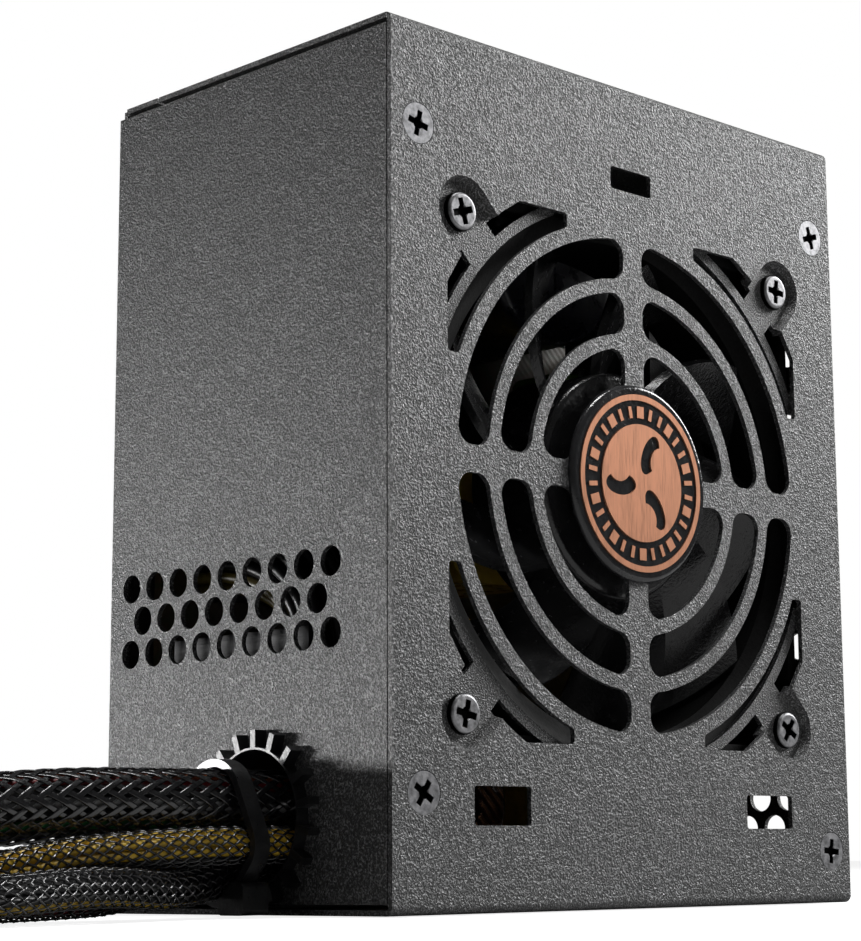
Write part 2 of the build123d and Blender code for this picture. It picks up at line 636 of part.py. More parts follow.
# ---------------------------------------------------------------- inlet and switch
def inlet_socket():
    """Appliance inlet: flange behind the wall, six-sided nose in the cut-out, deep pin cavity."""
    inner = X_WALL - SHEET
    flange = block(inner - 2.2, inner, INLET_Y - 11, INLET_Y + 11, INLET_Z - 25, INLET_Z + 25)
    flange = rounded(flange, Axis.X, 4.0)
    start = side_plane(INLET_BACK, INLET_Y, INLET_Z)
    nose = pull(inlet_outline(27.0, 19.6, 4.0), start, X_WALL - INLET_BACK)
    body = flange + nose
    body -= pull(inlet_outline(24.6, 16.8, 3.4), side_plane(X_WALL - 17, INLET_Y, INLET_Z), 18)
    for z in (INLET_Z - 20, INLET_Z + 20):
        body -= rod_x(1.5, X_WALL - 6, X_WALL, INLET_Y, z)
    for y, z in INLET_PINS:
        body -= block(INLET_BACK - 1, X_WALL - 16, y - 1.0, y + 1.0, z - 2.0, z + 2.0)
    return body


def inlet_pins():
    """Three flat pins, through the socket's floor to solder tabs."""
    pins = []
    for y, z in INLET_PINS:
        pin = block(X_WALL - 17, X_WALL - 4.5, y - 1.0, y + 1.0, z - 2.0, z + 2.0)
        tip = pin.edges().filter_by(Axis.Z).group_by(Axis.X)[-1]
        pin = chamfer(tip, 0.6)
        pins.append(pin + block(TAB_BACK, X_WALL - 17, y - 1.0, y + 1.0, z - 2.0, z + 2.0))
    return Compound(pins)


def inlet_screws():
    """Two pan-head screws from outside into the inlet's flange."""
    screws = []
    for z in (INLET_Z - 20, INLET_Z + 20):
        head = rod_x(2.8, X_WALL, X_WALL + 1.6, INLET_Y, z)
        head = fillet(head.edges().filter_by(GeomType.CIRCLE).group_by(Axis.X)[-1], 0.7)
        screw = head + rod_x(1.45, X_WALL - 5.5, X_WALL, INLET_Y, z)
        for size_y, size_z in ((0.7, 3.2), (3.2, 0.7)):
            y0, y1 = INLET_Y - size_y / 2, INLET_Y + size_y / 2
            screw -= block(X_WALL + 0.6, X_WALL + 2, y0, y1, z - size_z / 2, z + size_z / 2)
        screws.append(screw)
    return Compound(screws)


def switch_housing():
    """Rocker switch housing: bezel outside the wall, body and snap ribs behind it."""
    y0, y1 = INLET_Y - 6.5, INLET_Y + 6.5
    bezel = block(X_WALL, X_WALL + 1.6, INLET_Y - 7.5, INLET_Y + 7.5, SWITCH_Z - 10.6, SWITCH_Z + 10.6)
    bezel = chamfer(bezel.faces().sort_by(Axis.X)[-1].edges(), 0.5)
    body = block(X_WALL - 15, X_WALL, y0, y1, SWITCH_Z - 9.6, SWITCH_Z + 9.6)
    housing = bezel + body
    housing -= block(X_WALL - 9, X_WALL + 2, INLET_Y - 5.2, INLET_Y + 5.2, SWITCH_Z - 8.6, SWITCH_Z + 8.6)
    housing -= rod_y(1.06, y0 + 0.2, y1 - 0.2, ROCKER_X, SWITCH_Z)
    for z in SWITCH_TABS:
        housing -= block(X_WALL - 16, X_WALL - 12, INLET_Y - 2.4, INLET_Y + 2.4, z - 0.4, z + 0.4)
    return housing


def switch_rocker():
    """Rocker with stub axles, at rest with its lower end pressed in."""
    profile = [(-8.0, 1.6), (-7.4, 3.5), (0.0, 2.3), (7.4, 3.5), (8.0, 1.6), (5.0, -3.2), (-5.0, -3.2)]
    face = Polygon(*[(x, z) for z, x in profile], align=None)
    plane = Plane(origin=(ROCKER_X, INLET_Y + 4.9, SWITCH_Z), x_dir=(1, 0, 0), z_dir=(0, -1, 0))
    rocker = pull(face, plane, 9.8)
    mark_x = ROCKER_X + 2.65
    y0, y1 = INLET_Y - 0.4, INLET_Y + 0.4
    rocker -= block(mark_x, mark_x + 2, y0, y1, SWITCH_Z - 5.9, SWITCH_Z - 3.3)
    rocker -= rod_x(1.3, mark_x, mark_x + 2, INLET_Y, SWITCH_Z + 4.6)
    rocker += rod_y(1.0, INLET_Y - 6.1, INLET_Y + 6.1, ROCKER_X, SWITCH_Z)
    return rocker.rotate(Axis((ROCKER_X, 0, SWITCH_Z), (0, 1, 0)), ROCKER_TILT)


def switch_terminals():
    """Two push-on blades at the back of the switch."""
    blades = []
    for z in SWITCH_TABS:
        blade = block(SWITCH_TAB_BACK, X_WALL - 12, INLET_Y - 2.4, INLET_Y + 2.4, z - 0.4, z + 0.4)
        blades.append(blade - rod_z(0.8, z - 1, z + 1, X_WALL - 19.5, INLET_Y))
    return Compound(blades)


def mains_wires():
    """Four insulated wires down to the board: two from the inlet and two from the switch."""
    wires = []
    for y, z in INLET_PINS[:2]:
        turn = TAB_BACK - WIRE_DROP
        wires.append(tube([(TAB_BACK, y, z), (turn, y, z), (turn, BOARD_FRONT, z)], WIRE_R, [2.4]))
    for z in SWITCH_TABS:
        turn = SWITCH_TAB_BACK - WIRE_DROP
        points = [(SWITCH_TAB_BACK, INLET_Y, z), (turn, INLET_Y, z), (turn, BOARD_FRONT, z)]
        wires.append(tube(points, WIRE_R, [2.4]))
    return Compound(wires)


def earth_wire():
    """Earth wire from the inlet's middle pin to the ring tongue on the inlet wall."""
    y, z = INLET_PINS[2]
    turn = TAB_BACK - WIRE_DROP
    start = [(TAB_BACK, y, z), (turn, y, z), (turn, LUG_Y - 1, z)]
    end = [(LUG_START - 8, LUG_Y, LUG_Z), (LUG_START, LUG_Y, LUG_Z)]
    return tube(start + end, WIRE_R, [2.4, 3.0, 8.0])


def earth_lug():
    """Ring tongue with its crimp barrel, and the rivet that holds it to the inlet wall."""
    face = X_WALL - SHEET
    hole_z = LUG_Z - 4.2
    tongue = block(face - 0.6, face, LUG_Y - 3, LUG_Y + 3, LUG_Z - 7, LUG_Z + 1.5)
    tongue += block(LUG_START + 3, face, LUG_Y - 1.5, LUG_Y + 1.5, LUG_Z - 0.3, LUG_Z + 0.3)
    tongue += rod_x(1.9, LUG_START, LUG_START + 3.6, LUG_Y, LUG_Z)
    tongue -= rod_x(1.2, face - 1, face + 1, LUG_Y, hole_z)
    rivet = rod_x(1.15, face - 1.4, face, LUG_Y, hole_z)
    rivet += rod_x(2.1, face - 1.4, face - 0.6, LUG_Y, hole_z)
    return Compound([tongue, rivet])


# ---------------------------------------------------------------- board and components
def main_board():
    """Main circuit board with its four screw holes."""
    board = block(-45.5, 45.5, BOARD_FRONT, BOARD_BACK, 4.5, 120.5)
    for x, z in STANDOFFS:
        board -= rod_y(1.6, BOARD_FRONT - 1, BOARD_BACK + 1, x, z)
    return board


def can_capacitor(x, z, radius, height):
    """An electrolytic capacitor standing on the board: rolled groove, sleeve edge and vent cross."""
    top = BOARD_FRONT - height
    can = rod_y(radius, top, BOARD_FRONT, x, z)
    can = fillet(can.edges().filter_by(GeomType.CIRCLE).group_by(Axis.Y)[0], 0.12 * radius)
    groove = Pos(x, BOARD_FRONT - 2.6, z) * Rot(90, 0, 0) * Torus(radius + 0.25, 0.7)
    size = 1.1 * radius
    vent = block(x - size / 2, x + size / 2, top - 1, top + 0.2, z - 0.2, z + 0.2)
    vent += block(x - 0.2, x + 0.2, top - 1, top + 0.2, z - size / 2, z + size / 2)
    return can - groove - vent


def toroid(x, y, z, outer, inner, thick, axis, turns, wire):
    """A wound ring core: the core, with a loop of wire for each turn round it."""
    core = Cylinder(outer, thick) - Cylinder(inner, thick + 2)
    core = fillet(core.edges().filter_by(GeomType.CIRCLE), 0.8)
    middle = (outer + inner) / 2
    width = outer - inner + 2 * wire
    loop = Box(width, 2 * wire, thick + 2 * wire) - Box(width - 2 * wire, 3 * wire, thick)
    loop = fillet(loop.edges().filter_by(Axis.Y), 0.45 * wire)
    ring = core
    for k in range(turns):
        angle = 30 + 300.0 * k / (turns - 1)
        ring += Rot(0, 0, angle) * (Pos(middle, 0, 0) * loop)
    turned = {"X": Rot(0, 90, 0), "Y": Rot(90, 0, 0), "Z": Rot(0, 0, 0)}[axis]
    return Pos(x, y, z) * (turned * ring)


def wound_core(x0, x1, z0, z1, height, bobbin):
    """A ferrite transformer: E-core halves round a taped winding, on a pinned base."""
    y0 = BOARD_FRONT - height
    base = block(x0, x1, BOARD_FRONT - 3, BOARD_FRONT, z0, z1)
    middle = (z0 + z1) / 2
    core = block(x0, x1, y0 + 3, BOARD_FRONT - 3, middle - bobbin / 2, middle + bobbin / 2)
    core = chamfer(core.edges().filter_by(Axis.Z), 0.8)
    winding = block(x0 + 3.5, x1 - 3.5, y0, BOARD_FRONT - 3, z0 + 1, z1 - 1)
    winding = rounded(winding, Axis.Y, 4.0)
    return base + core + winding


def bulk_capacitor():
    """High-voltage storage capacitor."""
    return can_capacitor(5.0, 103.5, 14.9, 36.0)


def output_capacitors():
    """Low-voltage capacitors on the cable side."""
    places = [(-17, 112), (-29.5, 112), (-40.5, 103), (-29.5, 101), (-40.5, 91), (-40.5, 79), (-17.5, 100)]
    return Compound([can_capacitor(x, z, 4.9, 20.0 if k % 2 else 16.0) for k, (x, z) in enumerate(places)])


def main_transformer():
    """Main transformer with a taped winding."""
    return wound_core(-15.0, 15.0, 49.0, 79.0, 29.0, 16.0)


def standby_transformer():
    """Small standby transformer."""
    return wound_core(-8.0, 8.0, 31.0, 47.5, 18.0, 9.0)


def boost_choke():
    """Power-factor choke: a wound ring core lying on the board."""
    return toroid(3.0, BOARD_FRONT - 7.0, 16.5, 13.0, 6.5, 12.0, "Y", 16, 0.9)


def line_choke():
    """Common-mode line choke: a wound ring core standing on edge."""
    return toroid(34.0, BOARD_FRONT - 11.6, 18.0, 10.5, 5.5, 9.0, "X", 12, 0.8)


def output_choke():
    """Output choke: a wound ring core standing on edge beside the outlet."""
    return toroid(-17.0, BOARD_FRONT - 12.0, 30.0, 11.0, 5.5, 8.5, "X", 12, 0.8)


def film_capacitors():
    """Two box-shaped suppression capacitors."""
    first = rounded(block(22.0, 28.5, BOARD_FRONT - 16, BOARD_FRONT, 9, 27), Axis.Y, 1.0)
    second = rounded(block(26.0, 44.0, BOARD_FRONT - 11, BOARD_FRONT, 33, 41), Axis.Y, 1.0)
    return Compound([first, second])


def fin_plate(x0, x1, z0, z1, height, fins, reach):
    """An upright aluminium heat sink: a plate along Z with fins across its free edge."""
    y0 = BOARD_FRONT - height
    plate = block(x0, x1, y0, BOARD_FRONT - 0.6, z0, z1)
    for k in range(fins):
        z = z0 + 1.0 + k * (z1 - z0 - 2.0) / (fins - 1)
        plate += block(min(x0, x0 + reach), max(x1, x1 + reach), y0, y0 + 6.0, z - 0.6, z + 0.6)
    foot = rod_y(1.0, BOARD_FRONT - 1, BOARD_FRONT, (x0 + x1) / 2, z0 + 3)
    return plate + foot + rod_y(1.0, BOARD_FRONT - 1, BOARD_FRONT, (x0 + x1) / 2, z1 - 3)


def primary_heatsink():
    """Heat sink of the mains-side transistors."""
    return fin_plate(PRIMARY_SINK_X, PRIMARY_SINK_X + SINK_THICK, 31.0, 80.0, 36.0, 9, 3.0)


def secondary_heatsink():
    """Heat sink of the output rectifiers."""
    return fin_plate(SECONDARY_SINK_X, SECONDARY_SINK_X + SINK_THICK, 46.0, 92.0, 36.0, 8, -3.6)


def wall_heatsink():
    """Small plate beside the cable wall, behind the vents."""
    plate = block(-46.4, -44.4, -10.4, 20.5, 24.0, 40.2)
    for z in (25.5, 32.0):
        plate += block(-46.4, -44.4, 20.5, BOARD_FRONT, z, z + 3.0)
    return plate


def power_device(face, z, side):
    """A flat three-leg device bolted to a heat sink's face, on its +X or -X side."""
    body = block(0, 4.4, BOARD_FRONT - 14, BOARD_FRONT - 5, z - 5, z + 5)
    body += block(0, 1.3, BOARD_FRONT - 20, BOARD_FRONT - 14, z - 5, z + 5)
    for leg in (-2.54, 0, 2.54):
        body += block(1.8, 2.6, BOARD_FRONT - 5, BOARD_FRONT, z + leg - 0.5, z + leg + 0.5)
    if side < 0:
        body = mirror(body, Plane.YZ)
    return Pos(face, 0, 0) * body


def power_transistors():
    """Three mains-side transistors on the primary heat sink."""
    return Compound([power_device(PRIMARY_SINK_X + SINK_THICK, z, 1) for z in (37.0, 58.0, 73.0)])


def rectifiers():
    """Three output rectifiers on the secondary heat sink."""
    devices = [power_device(SECONDARY_SINK_X + SINK_THICK, 86.5, 1)]
    return Compound(devices + [power_device(SECONDARY_SINK_X, z, -1) for z in (71.0, 84.0)])


def bridge_rectifier():
    """Flat bridge rectifier with four legs."""
    body = rounded(block(30.0, 33.6, BOARD_FRONT - 19, BOARD_FRONT - 4, 54.0, 74.0), Axis.X, 1.5)
    for k in range(4):
        z = 56.5 + 5.0 * k
        body += block(31.4, 32.2, BOARD_FRONT - 4, BOARD_FRONT, z - 0.5, z + 0.5)
    return body


def fuse():
    """Sleeved fuse lying on the board."""
    body = rod_z(2.8, 56.0, 76.0, 40.0, BOARD_FRONT - 3.2)
    caps = block(39.6, 40.4, BOARD_FRONT - 3.2, BOARD_FRONT, 54.6, 55.4)
    caps += block(39.6, 40.4, BOARD_FRONT - 3.2, BOARD_FRONT, 76.6, 77.4)
    links = rod_z(0.4, 55.0, 77.0, 40.0, BOARD_FRONT - 3.2)
    return body + caps + links


def thermistor():
    """Disc-shaped inrush limiter on two legs."""
    disc = rod_x(5.5, 35.5, 39.5, BOARD_FRONT - 7.5, 103.0)
    disc = fillet(disc.edges().filter_by(GeomType.CIRCLE), 1.2)
    for z in (100.0, 106.0):
        disc += rod_y(0.45, BOARD_FRONT - 5, BOARD_FRONT, 37.5, z)
    return disc


def control_board():
    """Upright controller board with its chips."""
    board = block(-31.6, -30.0, BOARD_FRONT - 24, BOARD_FRONT, 68.0, 94.0)
    board += block(-33.4, -31.6, BOARD_FRONT - 14, BOARD_FRONT - 8, 72.0, 82.0)
    return board + block(-33.0, -31.6, BOARD_FRONT - 20, BOARD_FRONT - 16, 84.0, 89.0)


# ---------------------------------------------------------------- plugs
def pin_plug(columns, x, y, z, latch):
    """A two-row crimp-contact plug that faces +X, its rows across Y, with a latch lever on top."""
    wide = columns * PIN_PITCH + 0.1
    body = block(x, x + PLUG_LENGTH, y - wide / 2, y + wide / 2, z - PLUG_THICK / 2, z + PLUG_THICK / 2)
    body = chamfer(body.edges().filter_by(Axis.X), 0.5)
    for k in range(columns):
        py = y + (k - (columns - 1) / 2) * PIN_PITCH
        for pz in (z - PIN_PITCH / 2, z + PIN_PITCH / 2):
            body -= block(x + 8, x + PLUG_LENGTH + 1, py - 1.45, py + 1.45, pz - 1.45, pz + 1.45)
            body -= rod_x(0.95, x - 1, x + 3, py, pz)
    if latch:
        top = z + PLUG_THICK / 2
        body += block(x + 9, x + 11, y - 2.5, y + 2.5, top - 0.5, top + 1.6)
        body += block(x + 3, x + PLUG_LENGTH - 0.5, y - 2.5, y + 2.5, top + 1.5, top + 2.7)
    return body


def main_plug():
    """Twenty-contact block of the main plug."""
    x, y, z = MAIN_ROUTE[-1]
    return pin_plug(10, x, y - PIN_PITCH, z, True)


def main_side_plug():
    """Four-contact block that slides on the side of the main plug."""
    x, y, z = MAIN_ROUTE[-1]
    return pin_plug(2, x, y + 5 * PIN_PITCH + 0.2, z, False)


def cpu_plugs():
    """Two four-contact blocks side by side."""
    x, y, z = CPU_ROUTE[-1]
    first = pin_plug(2, x, y - PIN_PITCH - 0.1, z, True)
    return Compound([first, pin_plug(2, x, y + PIN_PITCH + 0.1, z, False)])


def graphics_plugs():
    """A six-contact block with a two-contact block beside it."""
    x, y, z = GRAPHICS_ROUTE[-1]
    large = pin_plug(3, x, y - PIN_PITCH / 2 - 0.1, z, True)
    return Compound([large, pin_plug(1, x, y + 1.5 * PIN_PITCH + 0.1, z, False)])


def drive_plug():
    """Flat drive plug with an L-shaped slot that faces +X."""
    x, y, z = DRIVE_ROUTE[-1]
    body = block(x, x + 14, y - 10.8, y + 10.8, z - 3.2, z + 3.2)
    body = chamfer(body.edges().filter_by(Axis.X), 0.4)
    body -= block(x + 6, x + 15, y - 9.3, y + 9.3, z - 0.7, z + 0.9)
    return body - block(x + 6, x + 15, y + 7.9, y + 9.3, z - 2.4, z + 0.9)


# ---------------------------------------------------------------- build
parts["casing_base"] = casing_base()
parts["fan_cover"] = fan_cover()
parts["cover_screws"] = cover_screws()
parts["fan_screws"] = fan_screws()
parts["insulation_sheet"] = insulation_sheet()
parts["board_standoffs"] = board_standoffs()
parts["board_screws"] = board_screws()
parts["badge_base"] = badge_base()
parts["badge_ring"] = badge_ring()
parts["badge_emblem"] = badge_emblem()
parts["fan_frame"] = fan_frame()
parts["fan_rotor"] = fan_rotor()
parts["rotor_magnet"] = rotor_magnet()
parts["fan_shaft"] = fan_shaft()
parts["fan_clip"] = fan_clip()
parts["fan_bearing"] = fan_bearing()
parts["fan_stator"] = fan_stator()
parts["fan_circuit_board"] = fan_circuit_board()
parts["fan_lead"] = fan_lead()
parts["fan_plug"] = fan_plug()
parts["inlet_socket"] = inlet_socket()
parts["inlet_pins"] = inlet_pins()
parts["inlet_screws"] = inlet_screws()
parts["switch_housing"] = switch_housing()
parts["switch_rocker"] = switch_rocker()
parts["switch_terminals"] = switch_terminals()
parts["mains_wires"] = mains_wires()
parts["earth_wire"] = earth_wire()
parts["earth_lug"] = earth_lug()
parts["main_board"] = main_board()
parts["bulk_capacitor"] = bulk_capacitor()
parts["output_capacitors"] = output_capacitors()
parts["main_transformer"] = main_transformer()
parts["standby_transformer"] = standby_transformer()
parts["boost_choke"] = boost_choke()
parts["line_choke"] = line_choke()
parts["output_choke"] = output_choke()
parts["film_capacitors"] = film_capacitors()
parts["primary_heatsink"] = primary_heatsink()
parts["secondary_heatsink"] = secondary_heatsink()
parts["wall_heatsink"] = wall_heatsink()
parts["power_transistors"] = power_transistors()
parts["rectifiers"] = rectifiers()
parts["bridge_rectifier"] = bridge_rectifier()
parts["fuse"] = fuse()
parts["thermistor"] = thermistor()
parts["control_board"] = control_board()
parts["edge_grommet"] = edge_grommet()
parts["bundle_tie"] = bundle_tie()
parts["wire_loom"] = tube(LOOM_ROUTE, LOOM_R, [12.0, 9.6])
parts["main_cable"] = free_cable("main_cable", MAIN_ROUTE, MAIN_D)
parts["cpu_cable"] = free_cable("cpu_cable", CPU_ROUTE, CPU_D)
parts["graphics_cable"] = free_cable("graphics_cable", GRAPHICS_ROUTE, GRAPHICS_D)
parts["drive_cable"] = free_cable("drive_cable", DRIVE_ROUTE, DRIVE_D)
parts["main_plug"] = main_plug()
parts["main_side_plug"] = main_side_plug()
parts["cpu_plugs"] = cpu_plugs()
parts["graphics_plugs"] = graphics_plugs()
parts["drive_plug"] = drive_plug()

os.makedirs("parts", exist_ok=True)
for name, shape in parts.items():
    export_step(shape, "parts/" + name + ".step")
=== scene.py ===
import bpy
import math
import numpy as np
from mathutils import Matrix, Vector


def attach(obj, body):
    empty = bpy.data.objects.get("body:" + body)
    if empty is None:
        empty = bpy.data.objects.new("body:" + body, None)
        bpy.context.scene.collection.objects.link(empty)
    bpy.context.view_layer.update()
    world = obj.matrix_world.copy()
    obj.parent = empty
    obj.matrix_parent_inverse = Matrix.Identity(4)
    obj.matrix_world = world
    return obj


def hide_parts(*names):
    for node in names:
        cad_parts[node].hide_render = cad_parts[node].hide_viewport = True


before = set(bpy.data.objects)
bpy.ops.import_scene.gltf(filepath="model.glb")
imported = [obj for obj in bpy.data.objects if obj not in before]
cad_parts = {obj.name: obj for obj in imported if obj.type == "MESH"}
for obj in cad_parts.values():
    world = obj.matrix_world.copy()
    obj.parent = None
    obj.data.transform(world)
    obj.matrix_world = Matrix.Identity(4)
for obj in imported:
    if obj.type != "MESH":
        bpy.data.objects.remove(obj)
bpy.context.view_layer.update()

# Looks of a small form factor power supply with braided output cables. Lengths are in metres.
CASING = "casing"
MM = 0.001


# ---------------------------------------------------------------- camera, light, floor
CAMERA_AZIMUTH, CAMERA_ELEVATION, CAMERA_ROLL = -45.625, -10.04, -0.642
CAMERA_PLACE = (-0.26426, -0.2658, 0.00674)
SENSOR_MM = 36
LENS_MM = 90.58916
LENS_SHIFT = (-0.0951116, -0.0281615)
CLIP_START, CLIP_END = 0.01, 50

# Name, place, target, size, power in watts and spread in degrees
LIGHTS = [
    ("key", (1.15, -0.4, 0.66), (0, 0, 0.06), (0.45, 0.45), 14.2, 180),
    ("side", (-0.48, 0.7, 0.03), (-0.05, 0, -0.02), (0.25, 0.06), 0.33, 40),
    ("top", (0.02, -0.1, 0.8), (-0.03, -0.03, 0.06), (0.12, 0.5), 6, 180),
]
# The surroundings look white, but give this share of that as light
WORLD_FILL = 0.08
FLOOR_RADIUS, FLOOR_SIDES, FLOOR_Z = 12, 96, -0.0002
FLOOR_GLOW = 0.85


def make_camera():
    """The camera looks along an azimuth and elevation, rolled about its own axis."""
    az, el, roll = (math.radians(a) for a in (CAMERA_AZIMUTH, CAMERA_ELEVATION, CAMERA_ROLL))
    back = Vector((math.sin(az) * math.cos(el), -math.cos(az) * math.cos(el), math.sin(el)))
    right = Vector((math.cos(az), math.sin(az), 0))
    up = back.cross(right)
    side = math.cos(roll) * right + math.sin(roll) * up
    top = -math.sin(roll) * right + math.cos(roll) * up
    data = bpy.data.cameras.new("camera")
    data.sensor_width = SENSOR_MM
    data.lens = LENS_MM
    data.shift_x, data.shift_y = LENS_SHIFT
    data.clip_start, data.clip_end = CLIP_START, CLIP_END
    camera = bpy.data.objects.new("camera", data)
    bpy.context.scene.collection.objects.link(camera)
    turned = Matrix((side, top, back)).transposed().to_4x4()
    camera.matrix_world = Matrix.Translation(CAMERA_PLACE) @ turned
    bpy.context.scene.camera = camera


def area_light(name, place, target, size, power, spread):
    data = bpy.data.lights.new(name, "AREA")
    data.shape = "RECTANGLE"
    data.size, data.size_y = size
    data.energy = power
    data.spread = math.radians(spread)
    light = bpy.data.objects.new(name, data)
    bpy.context.scene.collection.objects.link(light)
    light.location = place
    light.rotation_euler = (Vector(target) - Vector(place)).to_track_quat("-Z", "Y").to_euler()
    light.visible_camera = False


def make_world():
    """White to the camera, and a weak even light for everything else."""
    world = bpy.data.worlds.new("studio")
    bpy.context.scene.world = world
    world.use_nodes = True
    tree = world.node_tree
    background = tree.nodes["Background"]
    background.inputs["Color"].default_value = (1, 1, 1, 1)
    seen = tree.nodes.new("ShaderNodeMapRange")
    seen.inputs["To Min"].default_value = WORLD_FILL
    tree.links.new(tree.nodes.new("ShaderNodeLightPath").outputs["Is Camera Ray"], seen.inputs["Value"])
    tree.links.new(seen.outputs["Result"], background.inputs["Strength"])
    bpy.context.scene.view_settings.view_transform = "Standard"


def make_floor():
    turns = [k * math.tau / FLOOR_SIDES for k in range(FLOOR_SIDES)]
    rim = [(FLOOR_RADIUS * math.cos(t), FLOOR_RADIUS * math.sin(t), FLOOR_Z) for t in turns]
    mesh = bpy.data.meshes.new("floor")
    mesh.from_pydata(rim, [], [tuple(range(FLOOR_SIDES))])
    floor = bpy.data.objects.new("floor", mesh)
    bpy.context.scene.collection.objects.link(floor)
    floor.data.materials.append(floor_material())


# ---------------------------------------------------------------- materials
# Scale of a wave texture whose bands are a metre apart
WAVE_SCALE = 0.314


class Paint:
    """A node material, with helpers that add nodes to it."""

    def __init__(self, name, colour, roughness=0.5, metallic=0.0, **more):
        self.material = bpy.data.materials.new(name)
        self.material.use_nodes = True
        self.tree = self.material.node_tree
        self.shader = self.tree.nodes["Principled BSDF"]
        self.set("Base Color", (*colour, 1))
        self.set("Roughness", roughness)
        self.set("Metallic", metallic)
        for key, value in more.items():
            self.set(key.replace("_", " "), value)
        self.coords = self.node("ShaderNodeTexCoord").outputs["Object"]

    def node(self, kind, **values):
        made = self.tree.nodes.new(kind)
        for key, value in values.items():
            setattr(made, key, value)
        return made

    def set(self, socket, value):
        self.shader.inputs[socket].default_value = value

    def link(self, a, b):
        self.tree.links.new(a, b)

    def stretch(self, scale):
        """Object coordinates, scaled along each axis."""
        mapping = self.node("ShaderNodeMapping")
        mapping.inputs["Scale"].default_value = scale
        self.link(self.coords, mapping.inputs["Vector"])
        return mapping.outputs["Vector"]

    def noise(self, size, detail=2.0, rough=0.5, stretch=(1, 1, 1)):
        """Noise whose grains are about size metres."""
        made = self.node("ShaderNodeTexNoise")
        made.inputs["Scale"].default_value = 1 / size
        made.inputs["Detail"].default_value = detail
        made.inputs["Roughness"].default_value = rough
        self.link(self.stretch(stretch), made.inputs["Vector"])
        return made.outputs["Fac"]

    def cell_edges(self, size):
        """Distance to the edges of cells about size metres across."""
        made = self.node("ShaderNodeTexVoronoi", feature="DISTANCE_TO_EDGE")
        made.inputs["Scale"].default_value = 1 / size
        self.link(self.coords, made.inputs["Vector"])
        return made.outputs["Distance"]

    def wave(self, size, direction, distortion=0.0):
        """Bands that repeat every size metres."""
        made = self.node("ShaderNodeTexWave", wave_type="BANDS", bands_direction=direction)
        made.inputs["Scale"].default_value = WAVE_SCALE / size
        made.inputs["Distortion"].default_value = distortion
        self.link(self.coords, made.inputs["Vector"])
        return made.outputs["Fac"]

    def remap(self, value, low, high, to_low, to_high):
        """Value spread from low..high to to_low..to_high, and held at both ends."""
        made = self.node("ShaderNodeMapRange")
        ends = {"From Min": low, "From Max": high, "To Min": to_low, "To Max": to_high}
        for key, number in ends.items():
            made.inputs[key].default_value = number
        self.link(value, made.inputs["Value"])
        return made.outputs["Result"]

    def ramp(self, value, stops):
        """Colour by value, from (place, colour) stops."""
        made = self.node("ShaderNodeValToRGB")
        elements = made.color_ramp.elements
        while len(elements) < len(stops):
            elements.new(0.5)
        for element, (place, colour) in zip(elements, stops):
            element.position = place
            element.color = (*colour, 1)
        self.link(value, made.inputs["Fac"])
        return made.outputs["Color"]

    def mix(self, share, first, second):
        """From the first colour to the second as share goes from 0 to 1."""
        made = self.node("ShaderNodeMix", data_type="RGBA")
        self.link(share, made.inputs["Factor"])
        colour_a, colour_b, colour_out = 6, 7, 2
        for socket, value in ((colour_a, first), (colour_b, second)):
            if isinstance(value, tuple):
                made.inputs[socket].default_value = (*value, 1)
            else:
                self.link(value, made.inputs[socket])
        return made.outputs[colour_out]

    def scaled(self, value, factor):
        made = self.node("ShaderNodeMath", operation="MULTIPLY")
        self.link(value, made.inputs[0])
        made.inputs[1].default_value = factor
        return made.outputs[0]

    def colour(self, output):
        self.link(output, self.shader.inputs["Base Color"])

    def roughness(self, output):
        self.link(output, self.shader.inputs["Roughness"])

    def bump(self, *heights):
        """Bumps, each given as (height output, depth in metres)."""
        normal = None
        for height, recess_painted_shade in heights:
            made = self.node("ShaderNodeBump")
            made.inputs["Strength"].default_value = 1.0
            made.inputs["Distance"].default_value = recess_painted_shade
            self.link(height, made.inputs["Height"])
            if normal is not None:
                self.link(normal, made.inputs["Normal"])
            normal = made.outputs["Normal"]
        self.link(normal, self.shader.inputs["Normal"])


def floor_material():
    """Grey paper that looks white to the camera, so it takes shadows but sends little light up."""
    paint = Paint("floor_paper", (0.4, 0.4, 0.4), 0.8)
    fine = paint.noise(0.002, 4)
    paint.colour(paint.ramp(fine, [(0.3, (0.38, 0.38, 0.38)), (0.7, (0.42, 0.42, 0.42))]))
    paint.set("Emission Color", (1, 1, 1, 1))
    seen = paint.node("ShaderNodeLightPath").outputs["Is Camera Ray"]
    paint.link(paint.remap(seen, 0, 1, 0, FLOOR_GLOW), paint.shader.inputs["Emission Strength"])
    return paint.material


def powder_coat():
    """Sandy dark powder coat: grains of about 0.3 mm, with painted shade in their hollows and painted
    highlights on their tops.
    """
    paint = Paint("powder_coat", (0.05, 0.05, 0.051), 0.42, Specular_IOR_Level=0.9)
    grain = paint.noise(0.00029, 2, 0.5)
    coarse = paint.noise(0.0011, 2, 0.5)
    hollow_painted_shade, slopes, top_painted_highlight = (0.0, 0.0, 0.0), (0.012, 0.012, 0.0125), (0.21, 0.21, 0.213)
    # Colour follows the grain's height: the black hollows are painted shade and the light tops are
    # painted highlight.
    paint.colour(paint.ramp(grain, [(0.42, hollow_painted_shade), (0.54, slopes), (0.66, top_painted_highlight)]))
    paint.roughness(paint.remap(grain, 0.4, 0.6, 0.6, 0.27))
    paint.bump((grain, 0.00026), (coarse, 0.0001))
    return paint.material


